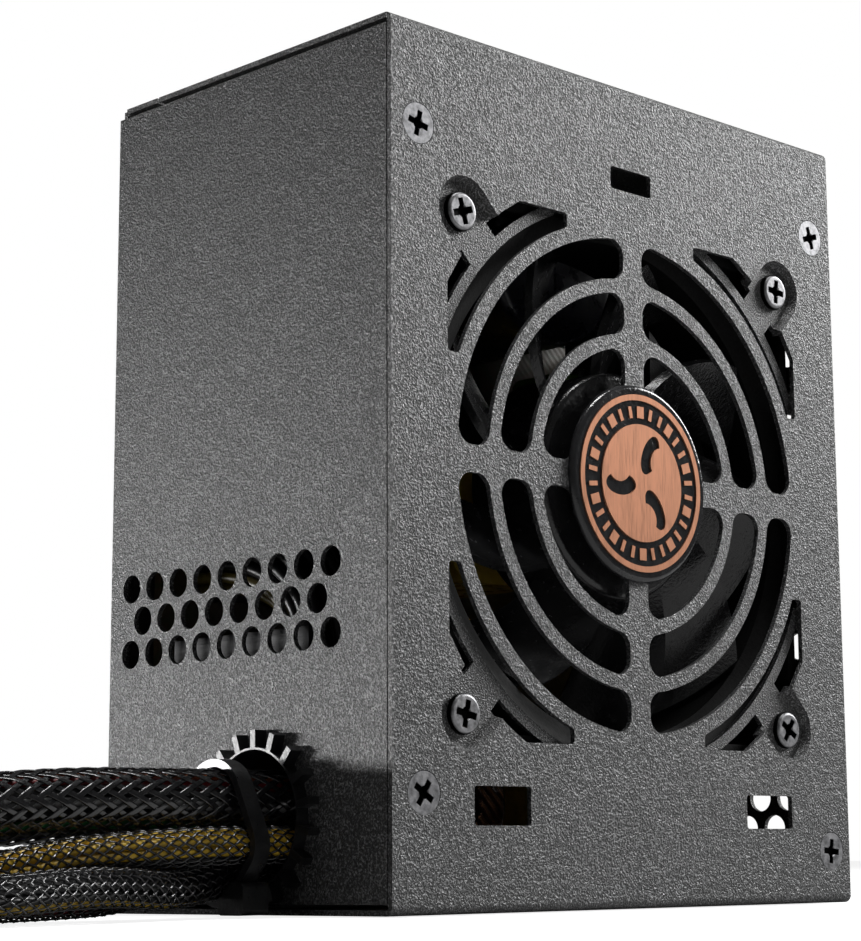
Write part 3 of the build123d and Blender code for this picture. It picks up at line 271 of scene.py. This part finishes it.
def screw_steel(name, front_mm):
    """Steel screw heads: worn steel on the flat front, with painted shade that turns the recess and the
    rim dark behind it.
    """
    paint = Paint(name, (0.3, 0.3, 0.31), 0.42, 1.0)
    wear = paint.noise(0.0009, 4, 0.65)
    worn, plain, polished = (0.16, 0.16, 0.165), (0.3, 0.3, 0.31), (0.42, 0.42, 0.43)
    bright = paint.ramp(wear, [(0.3, worn), (0.5, plain), (0.7, polished)])
    split = paint.node("ShaderNodeSeparateXYZ")
    paint.link(paint.coords, split.inputs["Vector"])
    # Painted shade: black grows with depth behind the flat front, in the drive recess and round the rim.
    recess_painted_shade = paint.remap(split.outputs["Y"], (front_mm + 0.04) * MM, (front_mm + 0.3) * MM, 0, 1)
    paint.colour(paint.mix(recess_painted_shade, bright, (0.004, 0.004, 0.004)))
    paint.roughness(paint.remap(wear, 0.3, 0.7, 0.34, 0.52))
    paint.bump((paint.noise(0.0003, 3), 0.00002))
    return paint.material


def plain_steel():
    """Plated steel of the screws that have no visible drive."""
    paint = Paint("plain_steel", (0.3, 0.3, 0.31), 0.4, 1.0)
    wear = paint.noise(0.0009, 4, 0.65)
    paint.colour(paint.ramp(wear, [(0.3, (0.14, 0.14, 0.145)), (0.7, (0.4, 0.4, 0.41))]))
    paint.bump((paint.noise(0.0003, 3), 0.00002))
    return paint.material


def gloss_plastic(name, colour, roughness):
    """Moulded plastic with faint mould texture and flow marks."""
    paint = Paint(name, colour, roughness, Coat_Weight=0.15, Coat_Roughness=0.1)
    flow = paint.noise(0.006, 3, 0.5)
    light = tuple(min(1.0, c * 1.5 + 0.004) for c in colour)
    paint.colour(paint.mix(paint.remap(flow, 0.35, 0.65, 0, 1), colour, light))
    paint.roughness(paint.remap(paint.noise(0.0015, 3), 0.3, 0.7, roughness * 0.8, roughness * 1.3))
    paint.bump((paint.noise(0.0005, 2), 0.00006))
    return paint.material


def frame_plastic():
    """Dull black glass-filled plastic of the fan frame."""
    paint = Paint("frame_plastic", (0.0035, 0.0035, 0.0035), 0.62, Specular_IOR_Level=0.12)
    fine = paint.noise(0.0005, 3, 0.6)
    dark, light = (0.002, 0.002, 0.002), (0.006, 0.006, 0.006)
    paint.colour(paint.mix(paint.remap(fine, 0.35, 0.65, 0, 1), dark, light))
    paint.roughness(paint.remap(fine, 0.3, 0.7, 0.55, 0.7))
    paint.bump((fine, 0.00004))
    return paint.material


def matt_plastic(name, colour, roughness=0.5, grain=0.00008):
    """Spark-eroded moulded plastic."""
    paint = Paint(name, colour, roughness)
    fine = paint.noise(0.00035, 3, 0.6)
    dark = tuple(c * 0.7 for c in colour)
    paint.colour(paint.mix(paint.remap(paint.noise(0.004, 3), 0.35, 0.65, 0, 1), dark, colour))
    paint.roughness(paint.remap(fine, 0.3, 0.7, roughness * 0.85, min(1.0, roughness * 1.2)))
    paint.bump((fine, grain))
    return paint.material


def brushed(name, colour, roughness, stretch=(1, 1, 1), grain=0.00004):
    """Metal with brush lines or fine scratches."""
    paint = Paint(name, colour, roughness, 1.0)
    lines = paint.noise(0.0002, 3, 0.6, stretch)
    dark = tuple(c * 0.72 for c in colour)
    paint.colour(paint.mix(paint.remap(lines, 0.3, 0.7, 0, 1), dark, colour))
    paint.roughness(paint.remap(lines, 0.3, 0.7, roughness * 0.8, roughness * 1.3))
    paint.bump((lines, grain))
    return paint.material


def board_material(name, colour, trace):
    """Circuit board: solder mask over tracks, with a weave underneath."""
    paint = Paint(name, colour, 0.35)
    cells = paint.cell_edges(0.006)
    tracks = paint.remap(cells, 0.04, 0.07, 1, 0)
    tracks = paint.scaled(tracks, 0.8)
    paint.colour(paint.mix(tracks, colour, trace))
    paint.bump((cells, 0.00001), (paint.wave(0.0008, "DIAGONAL"), 0.00001))
    return paint.material


def wound_wire(name, colour, pitch, direction):
    """Enamelled winding: close turns of wire."""
    paint = Paint(name, colour, 0.25, 0.85, Coat_Weight=0.4)
    turns = paint.wave(pitch, direction, 0.3)
    dark = tuple(c * 0.3 for c in colour)
    paint.colour(paint.mix(turns, dark, colour))
    paint.bump((turns, pitch * 0.35))
    return paint.material


def wrapped(name, colour, band, direction):
    """Shrink sleeve or tape in bands."""
    paint = Paint(name, colour, 0.28, Coat_Weight=0.3)
    bands = paint.wave(band, direction, 0.8)
    dark = tuple(c * 0.75 for c in colour)
    paint.colour(paint.mix(paint.remap(bands, 0, 0.12, 0, 1), dark, colour))
    paint.roughness(paint.remap(paint.noise(0.003, 3), 0.3, 0.7, 0.2, 0.4))
    paint.bump((paint.noise(0.0012, 2), 0.00006))
    return paint.material


def insulation(name, colour):
    """Soft wire insulation with a slight orange peel."""
    paint = Paint(name, colour, 0.38)
    dark = tuple(c * 0.6 for c in colour)
    paint.colour(paint.mix(paint.remap(paint.noise(0.004, 3), 0.35, 0.65, 0, 1), dark, colour))
    paint.roughness(paint.remap(paint.noise(0.001, 2), 0.3, 0.7, 0.3, 0.48))
    paint.bump((paint.noise(0.0004, 2), 0.00003))
    return paint.material


def filament():
    """Glossy black polyester monofilament."""
    paint = Paint("sleeve_filament", (0.007, 0.007, 0.0075), 0.16, Specular_IOR_Level=1.0)
    lines = paint.noise(0.0006, 2)
    dark, light = (0.004, 0.004, 0.0045), (0.012, 0.012, 0.013)
    paint.colour(paint.mix(paint.remap(lines, 0.35, 0.65, 0, 1), dark, light))
    paint.roughness(paint.remap(lines, 0.3, 0.7, 0.1, 0.22))
    return paint.material


# Y of the flat fronts of the screw heads in the fan face, in millimetres, behind which painted shade
# darkens the heads
COVER_SCREW_FRONT, FAN_SCREW_FRONT = -31.75, -31.4

# How each look is made
MAKERS = {
    "powder_coat": powder_coat,
    "cover_steel": lambda: screw_steel("cover_steel", COVER_SCREW_FRONT),
    "fan_screw_steel": lambda: screw_steel("fan_screw_steel", FAN_SCREW_FRONT),
    "plain_steel": plain_steel,
    "frame_plastic": frame_plastic,
    "black_gloss": lambda: gloss_plastic("black_gloss", (0.012, 0.012, 0.013), 0.16),
    "fan_gloss": lambda: gloss_plastic("fan_gloss", (0.006, 0.006, 0.0065), 0.22),
    "black_matt": lambda: matt_plastic("black_matt", (0.022, 0.022, 0.024)),
    "tie_nylon": lambda: gloss_plastic("tie_nylon", (0.004, 0.004, 0.0045), 0.34),
    "copper": lambda: brushed("copper", (0.62, 0.29, 0.17), 0.46, (1, 1, 0.06), 0.000006),
    "dull_plate": lambda: brushed("dull_plate", (0.06, 0.06, 0.061), 0.55, (1, 0.04, 1)),
    "edging": lambda: matt_plastic("edging", (0.006, 0.006, 0.0065), 0.38, 0.00003),
    "magnet": lambda: matt_plastic("magnet", (0.05, 0.05, 0.052), 0.6),
    "bright_steel": lambda: brushed("bright_steel", (0.7, 0.7, 0.71), 0.18, (1, 0.05, 1)),
    "bronze": lambda: brushed("bronze", (0.6, 0.42, 0.2), 0.38),
    "tin": lambda: brushed("tin", (0.75, 0.75, 0.74), 0.28, (0.1, 1, 1)),
    "aluminium": lambda: brushed("aluminium", (0.5, 0.5, 0.51), 0.5, (1, 0.04, 1)),
    "wound_copper": lambda: wound_wire("wound_copper", (0.6, 0.25, 0.1), 0.0004, "Y"),
    # Copper winding darkened as painted shade inside the casing
    "painted_shade_choke_wire": lambda: wound_wire("painted_shade_choke_wire", (0.13, 0.05, 0.02), 0.0011, "DIAGONAL"),
    "board_green": lambda: board_material("board_green", (0.01, 0.07, 0.03), (0.02, 0.14, 0.06)),
    # The main board's tan, darkened as painted shade inside the casing
    "board_tan": lambda: board_material("board_tan", (0.05, 0.033, 0.014), (0.03, 0.036, 0.012)),
    "white_plastic": lambda: matt_plastic("white_plastic", (0.72, 0.7, 0.65), 0.4),
    "wire_black": lambda: insulation("wire_black", (0.01, 0.01, 0.011)),
    "wire_earth": lambda: insulation("wire_earth", (0.15, 0.36, 0.03)),
    "wire_yellow": lambda: insulation("wire_yellow", (0.78, 0.5, 0.04)),
    # Yellow insulation darkened as painted shade, for wires inside the casing
    "wire_painted_shade_yellow": lambda: insulation("wire_painted_shade_yellow", (0.1, 0.075, 0.008)),
    "wire_red": lambda: insulation("wire_red", (0.2, 0.006, 0.01)),
    "wire_orange": lambda: insulation("wire_orange", (0.4, 0.09, 0.01)),
    "wire_blue": lambda: insulation("wire_blue", (0.015, 0.02, 0.22)),
    "wire_violet": lambda: insulation("wire_violet", (0.14, 0.03, 0.28)),
    "wire_green": lambda: insulation("wire_green", (0.02, 0.22, 0.05)),
    "wire_grey": lambda: insulation("wire_grey", (0.2, 0.2, 0.2)),
    "insulation_film": lambda: matt_plastic("insulation_film", (0.03, 0.03, 0.03), 0.35, 0.00002),
    "capacitor_sleeve": lambda: wrapped("capacitor_sleeve", (0.012, 0.012, 0.02), 0.02, "Y"),
    "yellow_tape": lambda: wrapped("yellow_tape", (0.6, 0.4, 0.04), 0.009, "Y"),
    "film_yellow": lambda: gloss_plastic("film_yellow", (0.68, 0.47, 0.08), 0.3),
    "epoxy": lambda: matt_plastic("epoxy", (0.015, 0.015, 0.015), 0.45),
    "thermistor_green": lambda: gloss_plastic("thermistor_green", (0.02, 0.12, 0.07), 0.25),
    "fuse_sleeve": lambda: wrapped("fuse_sleeve", (0.7, 0.68, 0.62), 0.004, "Z"),
    "filament": filament,
}
made_materials = {}


def look(name):
    """The material of that name, made the first time it is asked for."""
    if name not in made_materials:
        made_materials[name] = MAKERS[name]()
    return made_materials[name]


# CAD nodes that stay, with their looks
NODE_LOOKS = {
    "powder_coat": ("casing_base", "fan_cover"),
    "cover_steel": ("cover_screws",),
    "fan_screw_steel": ("fan_screws",),
    "plain_steel": ("inlet_screws", "board_screws"),
    "frame_plastic": ("fan_frame",),
    "black_gloss": ("badge_base", "switch_rocker"),
    "copper": ("badge_ring", "badge_emblem"),
    "black_matt": ("inlet_socket", "switch_housing", "main_plug", "main_side_plug",
                   "cpu_plugs", "graphics_plugs", "drive_plug"),
    "fan_gloss": ("fan_rotor",),
    "edging": ("edge_grommet",),
    "tie_nylon": ("bundle_tie",),
    "magnet": ("rotor_magnet",),
    "bright_steel": ("fan_shaft", "fan_clip"),
    "bronze": ("fan_bearing", "board_standoffs"),
    "wound_copper": ("fan_stator",),
    "painted_shade_choke_wire": ("boost_choke", "line_choke", "output_choke"),
    "board_green": ("fan_circuit_board", "control_board"),
    "board_tan": ("main_board",),
    "white_plastic": ("fan_plug",),
    "wire_black": ("fan_lead", "mains_wires"),
    "wire_earth": ("earth_wire",),
    "tin": ("inlet_pins", "switch_terminals", "earth_lug"),
    "insulation_film": ("insulation_sheet",),
    "capacitor_sleeve": ("bulk_capacitor", "output_capacitors"),
    "yellow_tape": ("main_transformer", "standby_transformer"),
    "film_yellow": ("film_capacitors",),
    "aluminium": ("primary_heatsink", "secondary_heatsink"),
    "dull_plate": ("wall_heatsink",),
    "epoxy": ("power_transistors", "rectifiers", "bridge_rectifier"),
    "fuse_sleeve": ("fuse",),
    "thermistor_green": ("thermistor",),
}


def dress_nodes():
    for name, nodes in NODE_LOOKS.items():
        for node in nodes:
            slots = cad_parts[node].data.materials
            slots.clear()
            slots.append(look(name))


# ---------------------------------------------------------------- mesh helpers
def piece(name, vertices, faces, looks, face_looks):
    """A smooth mesh piece that rides on the casing, with the number of each face's look."""
    mesh = bpy.data.meshes.new(name)
    mesh.from_pydata([tuple(v) for v in vertices], [], [tuple(f) for f in faces])
    for entry in looks:
        mesh.materials.append(look(entry))
    mesh.polygons.foreach_set("material_index", np.asarray(face_looks, np.int32))
    mesh.polygons.foreach_set("use_smooth", [True] * len(mesh.polygons))
    mesh.update()
    made = bpy.data.objects.new(name, mesh)
    bpy.context.scene.collection.objects.link(made)
    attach(made, CASING)
    return made


def read_route(name, points):
    """Points along the smooth line that a route's control points give."""
    data = bpy.data.curves.new(name, "CURVE")
    data.dimensions = "3D"
    spline = data.splines.new("NURBS")
    spline.points.add(len(points) - 1)
    for slot, place in zip(spline.points, points):
        slot.co = (*place, 1)
    spline.order_u = 3
    spline.use_endpoint_u = True
    data.resolution_u = 32
    carrier = bpy.data.objects.new(name, data)
    bpy.context.scene.collection.objects.link(carrier)
    bpy.context.view_layer.update()
    mesh = bpy.data.meshes.new_from_object(carrier.evaluated_get(bpy.context.evaluated_depsgraph_get()))
    line = np.array([v.co for v in mesh.vertices])
    bpy.data.objects.remove(carrier)
    bpy.data.curves.remove(data)
    bpy.data.meshes.remove(mesh)
    return line


def evenly(line, step):
    """The same line with points at equal steps, and the distance of each along it."""
    ends = np.concatenate([[0], np.cumsum(np.linalg.norm(np.diff(line, axis=0), axis=1))])
    count = int(round(ends[-1] / step)) + 1
    along = np.linspace(0, ends[-1], count)
    return np.stack([np.interp(along, ends, line[:, k]) for k in range(3)], 1), along


def frames_along(line, first=(0, 0, 1)):
    """Tangents and two side directions that turn as little as the line allows."""
    tangents = np.gradient(line, axis=0)
    tangents /= np.linalg.norm(tangents, axis=1)[:, None]
    side = np.array(first, float)
    sides = []
    for t in tangents:
        side = side - t * (side @ t)
        side /= np.linalg.norm(side)
        sides.append(side)
    sides = np.array(sides)
    return tangents, sides, np.cross(tangents, sides)


def ribbon(line, outward, section):
    """Vertices and faces of a closed section swept along a line, capped at both ends."""
    tangents = np.gradient(line, axis=0)
    tangents /= np.linalg.norm(tangents, axis=1)[:, None]
    outward = outward - tangents * (outward * tangents).sum(1)[:, None]
    outward /= np.linalg.norm(outward, axis=1)[:, None]
    across = np.cross(tangents, outward)
    rings = [line + across * a + outward * b for a, b in section]
    vertices = np.stack(rings, 1).reshape(-1, 3)
    m, n = len(section), len(line)
    base = np.arange(n - 1)[:, None] * m
    k = np.arange(m)[None, :]
    after = (k + 1) % m
    faces = np.stack([base + k, base + after, base + after + m, base + k + m], -1).reshape(-1, 4).tolist()
    faces.append(list(range(m))[::-1])
    faces.append([(n - 1) * m + i for i in range(m)])
    return vertices, faces


def join(parts):
    """One list of vertices and faces out of several, with each part's look number."""
    vertices, faces, looks, start = [], [], [], 0
    for points, loops, number in parts:
        vertices.append(points)
        faces += [[i + start for i in loop] for loop in loops]
        looks += [number] * len(loops)
        start += len(points)
    return np.concatenate(vertices), faces, looks


def circle(radius, count):
    turns = [-a * math.tau / count for a in range(count)]
    return [(radius * math.cos(t), radius * math.sin(t)) for t in turns]


# ---------------------------------------------------------------- cables
# Each route's control points, as in the CAD, in millimetres
ROUTES = {
    "main_cable": [
        (-44.0, -5.0, 15.25), (-62.0, -5.0, 15.25), (-81.5, -1.6, 15.2), (-102.5, -0.9, 13.2),
        (-120.8, 13.2, 9.6), (-127.9, 35.2, 6.6), (-120.6, 57.4, 5.2), (-101.6, 71.0, 4.95),
        (-76.0, 73.2, 5.0), (-48.0, 70.8, 4.95), (-22.0, 72.0, 5.4), (4.0, 71.0, 9.0),
        (28.5, 71.4, 12.7), (50.0, 71.4, 12.7),
    ],
    "cpu_cable": [
        (-44.0, -10.4, 9.6), (-55.0, -10.4, 9.6), (-70.0, -9.8, 9.3), (-87.0, -6.2, 7.9),
        (-109.0, -8.6, 3.2), (-134.6, 16.6, 2.75), (-134.4, 53.8, 2.8), (-108.0, 79.8, 2.75),
        (-68.0, 80.6, 2.8), (-24.0, 79.4, 2.75), (14.0, 80.0, 2.9), (44.0, 75.6, 5.0),
        (73.0, 75.6, 5.0),
    ],
    "graphics_cable": [
        (-44.0, -5.0, 6.75), (-55.0, -5.0, 6.75), (-67.0, -8.7, 3.2), (-84.0, -14.6, 4.6),
        (-113.0, -22.8, 2.8), (-147.6, 11.0, 2.75), (-147.4, 59.2, 2.8), (-113.6, 92.8, 2.75),
        (-68.0, 93.6, 2.8), (-22.0, 92.4, 2.75), (20.0, 93.0, 2.9), (50.0, 98.9, 5.0),
        (79.0, 98.9, 5.0),
    ],
    "drive_cable": [
        (-44.0, 0.0, 9.45), (-55.0, 0.0, 9.45), (-71.0, -3.6, 3.2), (-88.0, -9.4, 2.65),
        (-111.2, -16.2, 2.7), (-141.0, 13.8, 2.65), (-140.8, 56.4, 2.7), (-111.0, 86.3, 2.65),
        (-66.0, 87.1, 2.7), (-22.0, 85.8, 2.65), (22.0, 86.6, 2.7), (62.0, 87.4, 3.4),
        (101.0, 87.4, 3.4),
    ],
}
LOOM = [(-34.0, 25.35, 55.0), (-34.0, -5.0, 55.0), (-34.0, -5.0, 12.6), (-44.0, -5.0, 12.6)]
# Ring radius and count of the loom's wires, and the radius of a wire, in millimetres
LOOM_RINGS = ((0.0, 1), (2.45, 6), (4.9, 12), (6.95, 18))
LOOM_WIRE = 0.98
# Places on the outer ring of the yellow wires, which are darkened as painted shade
YELLOW_PLACES = (2, 3)
PIN_PITCH = 4.2
WIRE_STEP = 1.5
WIRE_SIDES, LOOM_SIDES, TUBE_SIDES = 7, 8, 20
# How far the wires go into their plug, and the shrunk end over the sleeve and past it, in millimetres
PLUG_DEPTH, TUBE_BACK, TUBE_PAST = 2, 12, 1.5
TUBE_OVERSIZE = 1.02
# A wire is near a cable's line within this share of the diameter and this many millimetres more
NEAR_SHARE, NEAR_EXTRA = 0.65, 1.9
# How much a contact place's column counts against its direction, per metre
COLUMN_WEIGHT = 20
# Strand angle as sideways over forward, and how far a strand rises at a crossing, in strand thicknesses
BRAID_SLOPE, BRAID_LIFT = 0.6, 1.25


def in_metres(points):
    return [tuple(c * MM for c in p) for p in points]


def pin_rows(columns):
    """Plug contact places, as offsets (Y, Z) in metres, from a list of column offsets in millimetres."""
    return [(y * MM, z * MM) for z in (PIN_PITCH / 2, -PIN_PITCH / 2) for y in columns]


def sleeve_strands(line, along, radius, cable):
    """Braided sleeve inside a radius: strands of each hand, which pass over and under each other."""
    section = in_metres(cable.section)
    thick = max(height for _, height in section)
    lift = thick * BRAID_LIFT
    middle = radius - thick - lift
    _, side, other = frames_along(line)
    gap = math.tau / cable.carriers
    turn = BRAID_SLOPE / middle
    crossings = 2 * turn * along / gap
    strands = []
    for hand in (1, -1):
        for k in range(cable.carriers):
            angle = hand * turn * along + k * gap
            step = 2 * k + hand * crossings
            weave = np.cos(math.pi / cable.floats * (step - (cable.floats - 1) / 2)) * hand
            outward = side * np.cos(angle)[:, None] + other * np.sin(angle)[:, None]
            path = line + outward * (middle + lift * weave)[:, None]
            points, faces = ribbon(path, outward, section)
            strands.append((points, faces, 0))
    return strands


def wire_line(line, along, ring, angle, twist, spread_from, pin):
    """One wire of a bundle: on its ring inside the sleeve, then over to its place in the plug."""
    _, side, other = frames_along(line)
    turn = angle + twist * along
    offset = (side * np.cos(turn)[:, None] + other * np.sin(turn)[:, None]) * ring
    share = np.clip((along - spread_from) / (along[-1] - spread_from), 0, 1)
    share = (share * share * (3 - 2 * share))[:, None]
    path = line + offset * (1 - share) + np.array([0, *pin]) * share
    return np.concatenate([path, path[-1:] + np.array([[PLUG_DEPTH * MM, 0, 0]])])


def shrink_tube(line, along, start, end, radius):
    """Heat-shrunk end of a sleeve, tightened at both rims."""
    chosen = (along >= start) & (along <= end)
    middle, place = line[chosen], along[chosen]
    _, side, other = frames_along(middle)
    share = (place - start) / (end - start)
    waist, ripple, ripples = 0.06, 0.03, 19
    size = radius * (1 - waist * np.cos(share * math.tau) - ripple * np.sin(share * ripples))
    count = TUBE_SIDES
    rings = []
    for a in range(count):
        turn = a * math.tau / count
        rings.append(middle + (side * math.cos(turn) + other * math.sin(turn)) * size[:, None])
    vertices = np.stack(rings, 1).reshape(-1, 3)
    faces = []
    for i in range(len(middle) - 1):
        for k in range(count):
            a, b = i * count + k, i * count + (k + 1) % count
            faces.append([a, b, b + count, a + count])
    faces.append(list(range(count))[::-1])
    faces.append([(len(middle) - 1) * count + k for k in range(count)])
    return vertices, faces


# Sections of a sleeve's strands, as points (across, outward) in millimetres
FLAT_STRAND = [
    (-0.43, -0.03), (-0.29, 0.11), (-0.15, 0.05), (0, 0.12),
    (0.15, 0.05), (0.29, 0.11), (0.43, -0.03), (0, -0.08),
]
THIN_STRAND = [(-0.19, 0), (0, 0.11), (0.19, 0), (0, -0.11)]


class Cable:
    """What one output cable is made of. Lengths in millimetres, except its own length, which is not used,
    and the pins.
    """

    def __init__(self, diameter, length, bare, plugs, pins):
        self.diameter, self.length = diameter, length
        self.bare, self.plugs, self.pins = bare, plugs, pins

    def sleeve(self, carriers, floats, section, step):
        """Carriers is the number of strands of each hand, floats how many each passes over at a time."""
        self.carriers, self.floats, self.section, self.step = carriers, floats, section, step
        return self

    def wires(self, radius, start, twist, *rings):
        """Rings of (radius, colours of the wires); start in radians, twist in radians per metre."""
        self.wire_radius, self.start, self.twist, self.rings = radius, start, twist, rings
        return self


EIGHT_PINS = pin_rows([-6.4, -2.2, 2.2, 6.4])
MAIN_PINS = pin_rows([(k - 4.5) * PIN_PITCH - PIN_PITCH for k in range(10)] + [19.1, 23.3])
DRIVE_PINS = [(y * MM, 0.0) for y in (-8, -4, 0, 4, 8)]
CABLES = {
    "main_cable":
        Cable(9.8, 0.30, 34, ["main_plug", "main_side_plug"], MAIN_PINS)
        .sleeve(16, 2, FLAT_STRAND, 0.8)
        .wires(0.75, 0.4, 9.0,
               (3.45, "red black orange black violet blue black green black grey black red orange black"),
               (1.9, "black red yellow black orange black red black"),
               (0.5, "black black")),
    "cpu_cable":
        Cable(5.4, 0.35, 24, ["cpu_plugs"], EIGHT_PINS)
        .sleeve(12, 1, THIN_STRAND, 0.42)
        .wires(0.7, -2.2, 7.0, (1.58, "yellow yellow yellow yellow black black black"), (0, "black")),
    "graphics_cable":
        Cable(5.4, 0.40, 24, ["graphics_plugs"], EIGHT_PINS)
        .sleeve(12, 1, THIN_STRAND, 0.42)
        .wires(0.7, -2.6, 9.0, (1.58, "black black black black yellow yellow yellow"), (0, "black")),
    "drive_cable":
        Cable(5.2, 0.40, 20, ["drive_plug"], DRIVE_PINS)
        .sleeve(12, 1, THIN_STRAND, 0.42)
        .wires(0.8, -0.9, 8.0, (1.35, "yellow yellow black red black")),
}


def list_wires(cable):
    """Every wire as (ring radius, angle on the ring, colour)."""
    wires = []
    for ring, names in cable.rings:
        colours = names.split()
        wires += [(ring * MM, k / len(colours) * math.tau, colour) for k, colour in enumerate(colours)]
    return wires


def misfit(pin, want):
    """How badly a contact place suits a wire that comes from the direction want."""
    away = math.remainder(math.atan2(pin[1], pin[0]) - want, math.tau)
    return abs(away) + COLUMN_WEIGHT * abs(pin[0])


def pair_with_pins(wires, cable, line, along):
    """Each wire's contact place, and whether that place is near the cable's line.

    The near places go to the innermost wires. Each wire takes a place on its own side, in a middle column
    if one is free.
    """
    limit = (NEAR_SHARE * cable.diameter + NEAR_EXTRA - cable.wire_radius) * MM
    free = sorted(cable.pins, key=lambda p: math.hypot(*p))
    near_count = sum(math.hypot(*p) <= limit for p in free)
    _, side, other = frames_along(line)
    paired = {}
    for rank, i in enumerate(sorted(range(len(wires)), key=lambda i: wires[i][0])):
        ring, angle, _ = wires[i]
        turn = cable.start + angle + cable.twist * along[-1]
        there = ring * (side[-1] * math.cos(turn) + other[-1] * math.sin(turn))
        want = math.atan2(there[2], there[1])
        near = rank < near_count
        choice = free[:near_count - rank] if near else free
        best = min(choice, key=lambda pin: misfit(pin, want))
        free.remove(best)
        paired[i] = (best, near)
    return paired


def make_cable(name, cable):
    """A sleeved cable in two pieces.

    The braid, its shrunk end and the wires that stay near the cable's line are one piece, because that
    piece is measured as the cord. The wires that spread further at the plug are the other.
    """
    line, along = evenly(read_route(name, in_metres(ROUTES[name])), cable.step * MM)
    radius = cable.diameter / 2 * MM
    bare_from = along[-1] - cable.bare * MM
    inside = along <= bare_from
    parts = sleeve_strands(line[inside], along[inside], radius, cable)
    tube_start, tube_end = bare_from - TUBE_BACK * MM, bare_from + TUBE_PAST * MM
    parts.append((*shrink_tube(line, along, tube_start, tube_end, radius * TUBE_OVERSIZE), 1))
    coarse, spots = evenly(line, WIRE_STEP * MM)
    wires = list_wires(cable)
    colours = sorted({colour for _, _, colour in wires})
    looks = ["filament", "wire_black"] + ["wire_" + c for c in colours]
    paired = pair_with_pins(wires, cable, coarse, spots)
    groups = {True: parts, False: []}
    for i, (ring, angle, colour) in enumerate(wires):
        pin, near = paired[i]
        path = wire_line(coarse, spots, ring, cable.start + angle, cable.twist, bare_from, pin)
        outward = np.tile([0.02, 0.3, 1.0], (len(path), 1))
        points, faces = ribbon(path, outward, circle(cable.wire_radius * MM, WIRE_SIDES))
        groups[near].append((points, faces, 2 + colours.index(colour)))
    vertices, faces, numbers = join(groups[True])
    braid = piece(name + "_sleeve", vertices, faces, looks, numbers)
    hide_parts(name)
    if groups[False]:
        vertices, faces, numbers = join(groups[False])
        rest = piece(name + "_wires", vertices, faces, looks, numbers)


def make_loom():
    """The output wires between the board and the outlet, with two yellow ones nearest the vents that are
    darkened as painted shade.
    """
    line, along = evenly(read_route("loom", in_metres(LOOM)), WIRE_STEP * MM)
    _, side, other = frames_along(line, (-1, 0, 0))
    outward = np.tile([0.1, 0.25, 0.9], (len(line), 1)) + side
    colours = ["black", "painted_shade_yellow"]
    outer_ring = LOOM_RINGS[-1][0]
    parts = []
    for ring, count in LOOM_RINGS:
        for k in range(count):
            turn = k / count * math.tau
            bend = 1 + 0.04 * math.sin(3 * k + ring)
            wander = 0.25 * MM * np.sin(along * 90 + k * 2.1 + ring)
            offset = side * (ring * MM * math.cos(turn) * bend + wander)[:, None]
            offset = offset + other * (ring * MM * math.sin(turn))
            points, faces = ribbon(line + offset, outward, circle(LOOM_WIRE * MM, LOOM_SIDES))
            # These yellow wires take the yellow darkened as painted shade.
            yellow = ring == outer_ring and k in YELLOW_PLACES
            parts.append((points, faces, colours.index("painted_shade_yellow" if yellow else "black")))
    vertices, faces, numbers = join(parts)
    loom = piece("loom_wires", vertices, faces, ["wire_" + c for c in colours], numbers)
    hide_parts("wire_loom")


make_camera()
make_world()
make_floor()
for light in LIGHTS:
    area_light(*light)
dress_nodes()
for cable_name, cable_made in CABLES.items():
    make_cable(cable_name, cable_made)
make_loom()
